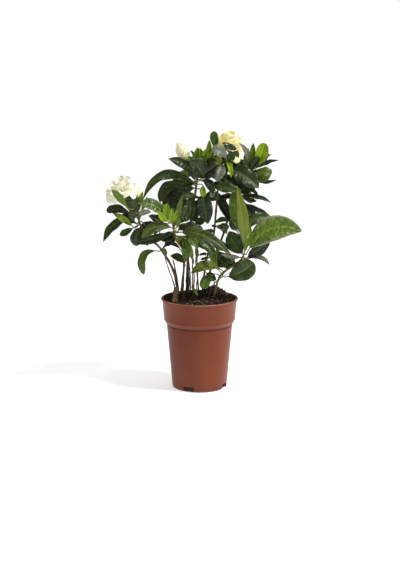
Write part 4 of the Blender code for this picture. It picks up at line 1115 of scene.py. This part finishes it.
def make_stump():
    path = smooth_path(STUMP, 10)
    radii = [STUMP_RADIUS * (1.25 - 0.55 * (k / len(path)) ** 1.5 + 0.16 * math.sin(k * 0.9))
             for k in range(len(path))]
    tube, faces = sweep(path, radii, 28, 5, 0.22)
    places = [Vector(place) * 0.35 for place in tube]
    shift = Vector((9, 4, 2))
    knots = [(0.9 * noise.noise(place), 0.9 * noise.noise(place + shift), 0.0) for place in places]
    cloud = Cloud()
    cloud.add(tube + np.array(knots), faces, tone=0.0)
    bark = bark_material("stump_bark", srgb(50, 35, 21), srgb(132, 102, 66), srgb(124, 96, 62), 1.0)
    cloud.piece("cut_stump_bark", [bark], "cut_stump")


# ---------------------------------------------------------------- stage

FLOOR_RADIUS = 1.4
FLOOR_DROP = 0.0003  # under the pot's foot
FLOOR_GLOW = 0.60
GLOW_EDGE = (0.040, 0.046)  # the floor glows outside this ring, which the pot's foot covers
AMBIENT_LIGHT = 0.13
BACKGROUND_LIGHT = 1.05
# name, place, size, power
LIGHTS = [
    ("key", (1.35, -0.6, 2.1), 0.45, 46),
    ("overhead", (0.1, 0.3, 2.2), 1.2, 10),
    ("front", (0.8, -2.6, 1.3), 1.6, 8),
    ("fill", (-1.7, -1.4, 0.9), 1.2, 1.5),
]
LIGHT_TARGET = (0, 0, 0.25)
CAMERA_PLACE = (0.0008, -2.4, 0.677)
CAMERA_DIP = 11.8  # degrees below level
CAMERA_LENS = 91.8


def make_floor():
    bm = bmesh.new()
    bmesh.ops.create_circle(bm, cap_ends=True, segments=96, radius=FLOOR_RADIUS)
    floor = linked("floor", mesh_from(bm, "floor"))
    floor.location.z = -FLOOR_DROP
    paper = Shader("white_paper").set(Roughness=0.9, Base_Color=(0.93, 0.93, 0.94, 1),
                                      Emission_Color=(1, 1, 1, 1))
    radius = paper.node("ShaderNodeVectorMath", operation="LENGTH")
    paper.tree.links.new(paper.node("ShaderNodeTexCoord").outputs["Object"], radius.inputs[0])
    paper.feed("Emission Strength", paper.ramp(radius.outputs["Value"], *GLOW_EDGE, 0.0, FLOOR_GLOW))
    floor.data.materials.append(paper.material)


def make_world():
    """Soft ambient light, with a white background for the camera."""
    world = bpy.data.worlds.new("studio")
    bpy.context.scene.world = world
    world.use_nodes = True
    tree = world.node_tree
    background = tree.nodes["Background"]
    background.inputs["Color"].default_value = (0.98, 0.99, 1.0, 1)
    strength = tree.nodes.new("ShaderNodeMapRange")
    strength.inputs["To Min"].default_value = AMBIENT_LIGHT
    strength.inputs["To Max"].default_value = BACKGROUND_LIGHT
    tree.links.new(tree.nodes.new("ShaderNodeLightPath").outputs["Is Camera Ray"], strength.inputs["Value"])
    tree.links.new(strength.outputs["Result"], background.inputs["Strength"])


def make_lights():
    for name, place, size, power in LIGHTS:
        light = bpy.data.lights.new(name, "AREA")
        light.energy = power
        light.size = size
        obj = linked(name, light)
        obj.location = place
        obj.rotation_euler = (Vector(LIGHT_TARGET) - obj.location).to_track_quat("-Z", "Y").to_euler()


def make_camera():
    camera = bpy.data.cameras.new("camera")
    camera.lens = CAMERA_LENS
    camera.sensor_width = 36
    obj = linked("camera", camera)
    obj.location = CAMERA_PLACE
    obj.rotation_euler = (math.radians(90 - CAMERA_DIP), 0, 0)
    bpy.context.scene.camera = obj
    bpy.context.scene.view_settings.view_transform = "Standard"


make_floor()
make_world()
make_lights()
make_camera()
make_pot()
make_soil()
make_crumbs()
make_stump()
make_plant()
make_stalks()
make_blooms()
make_buds()
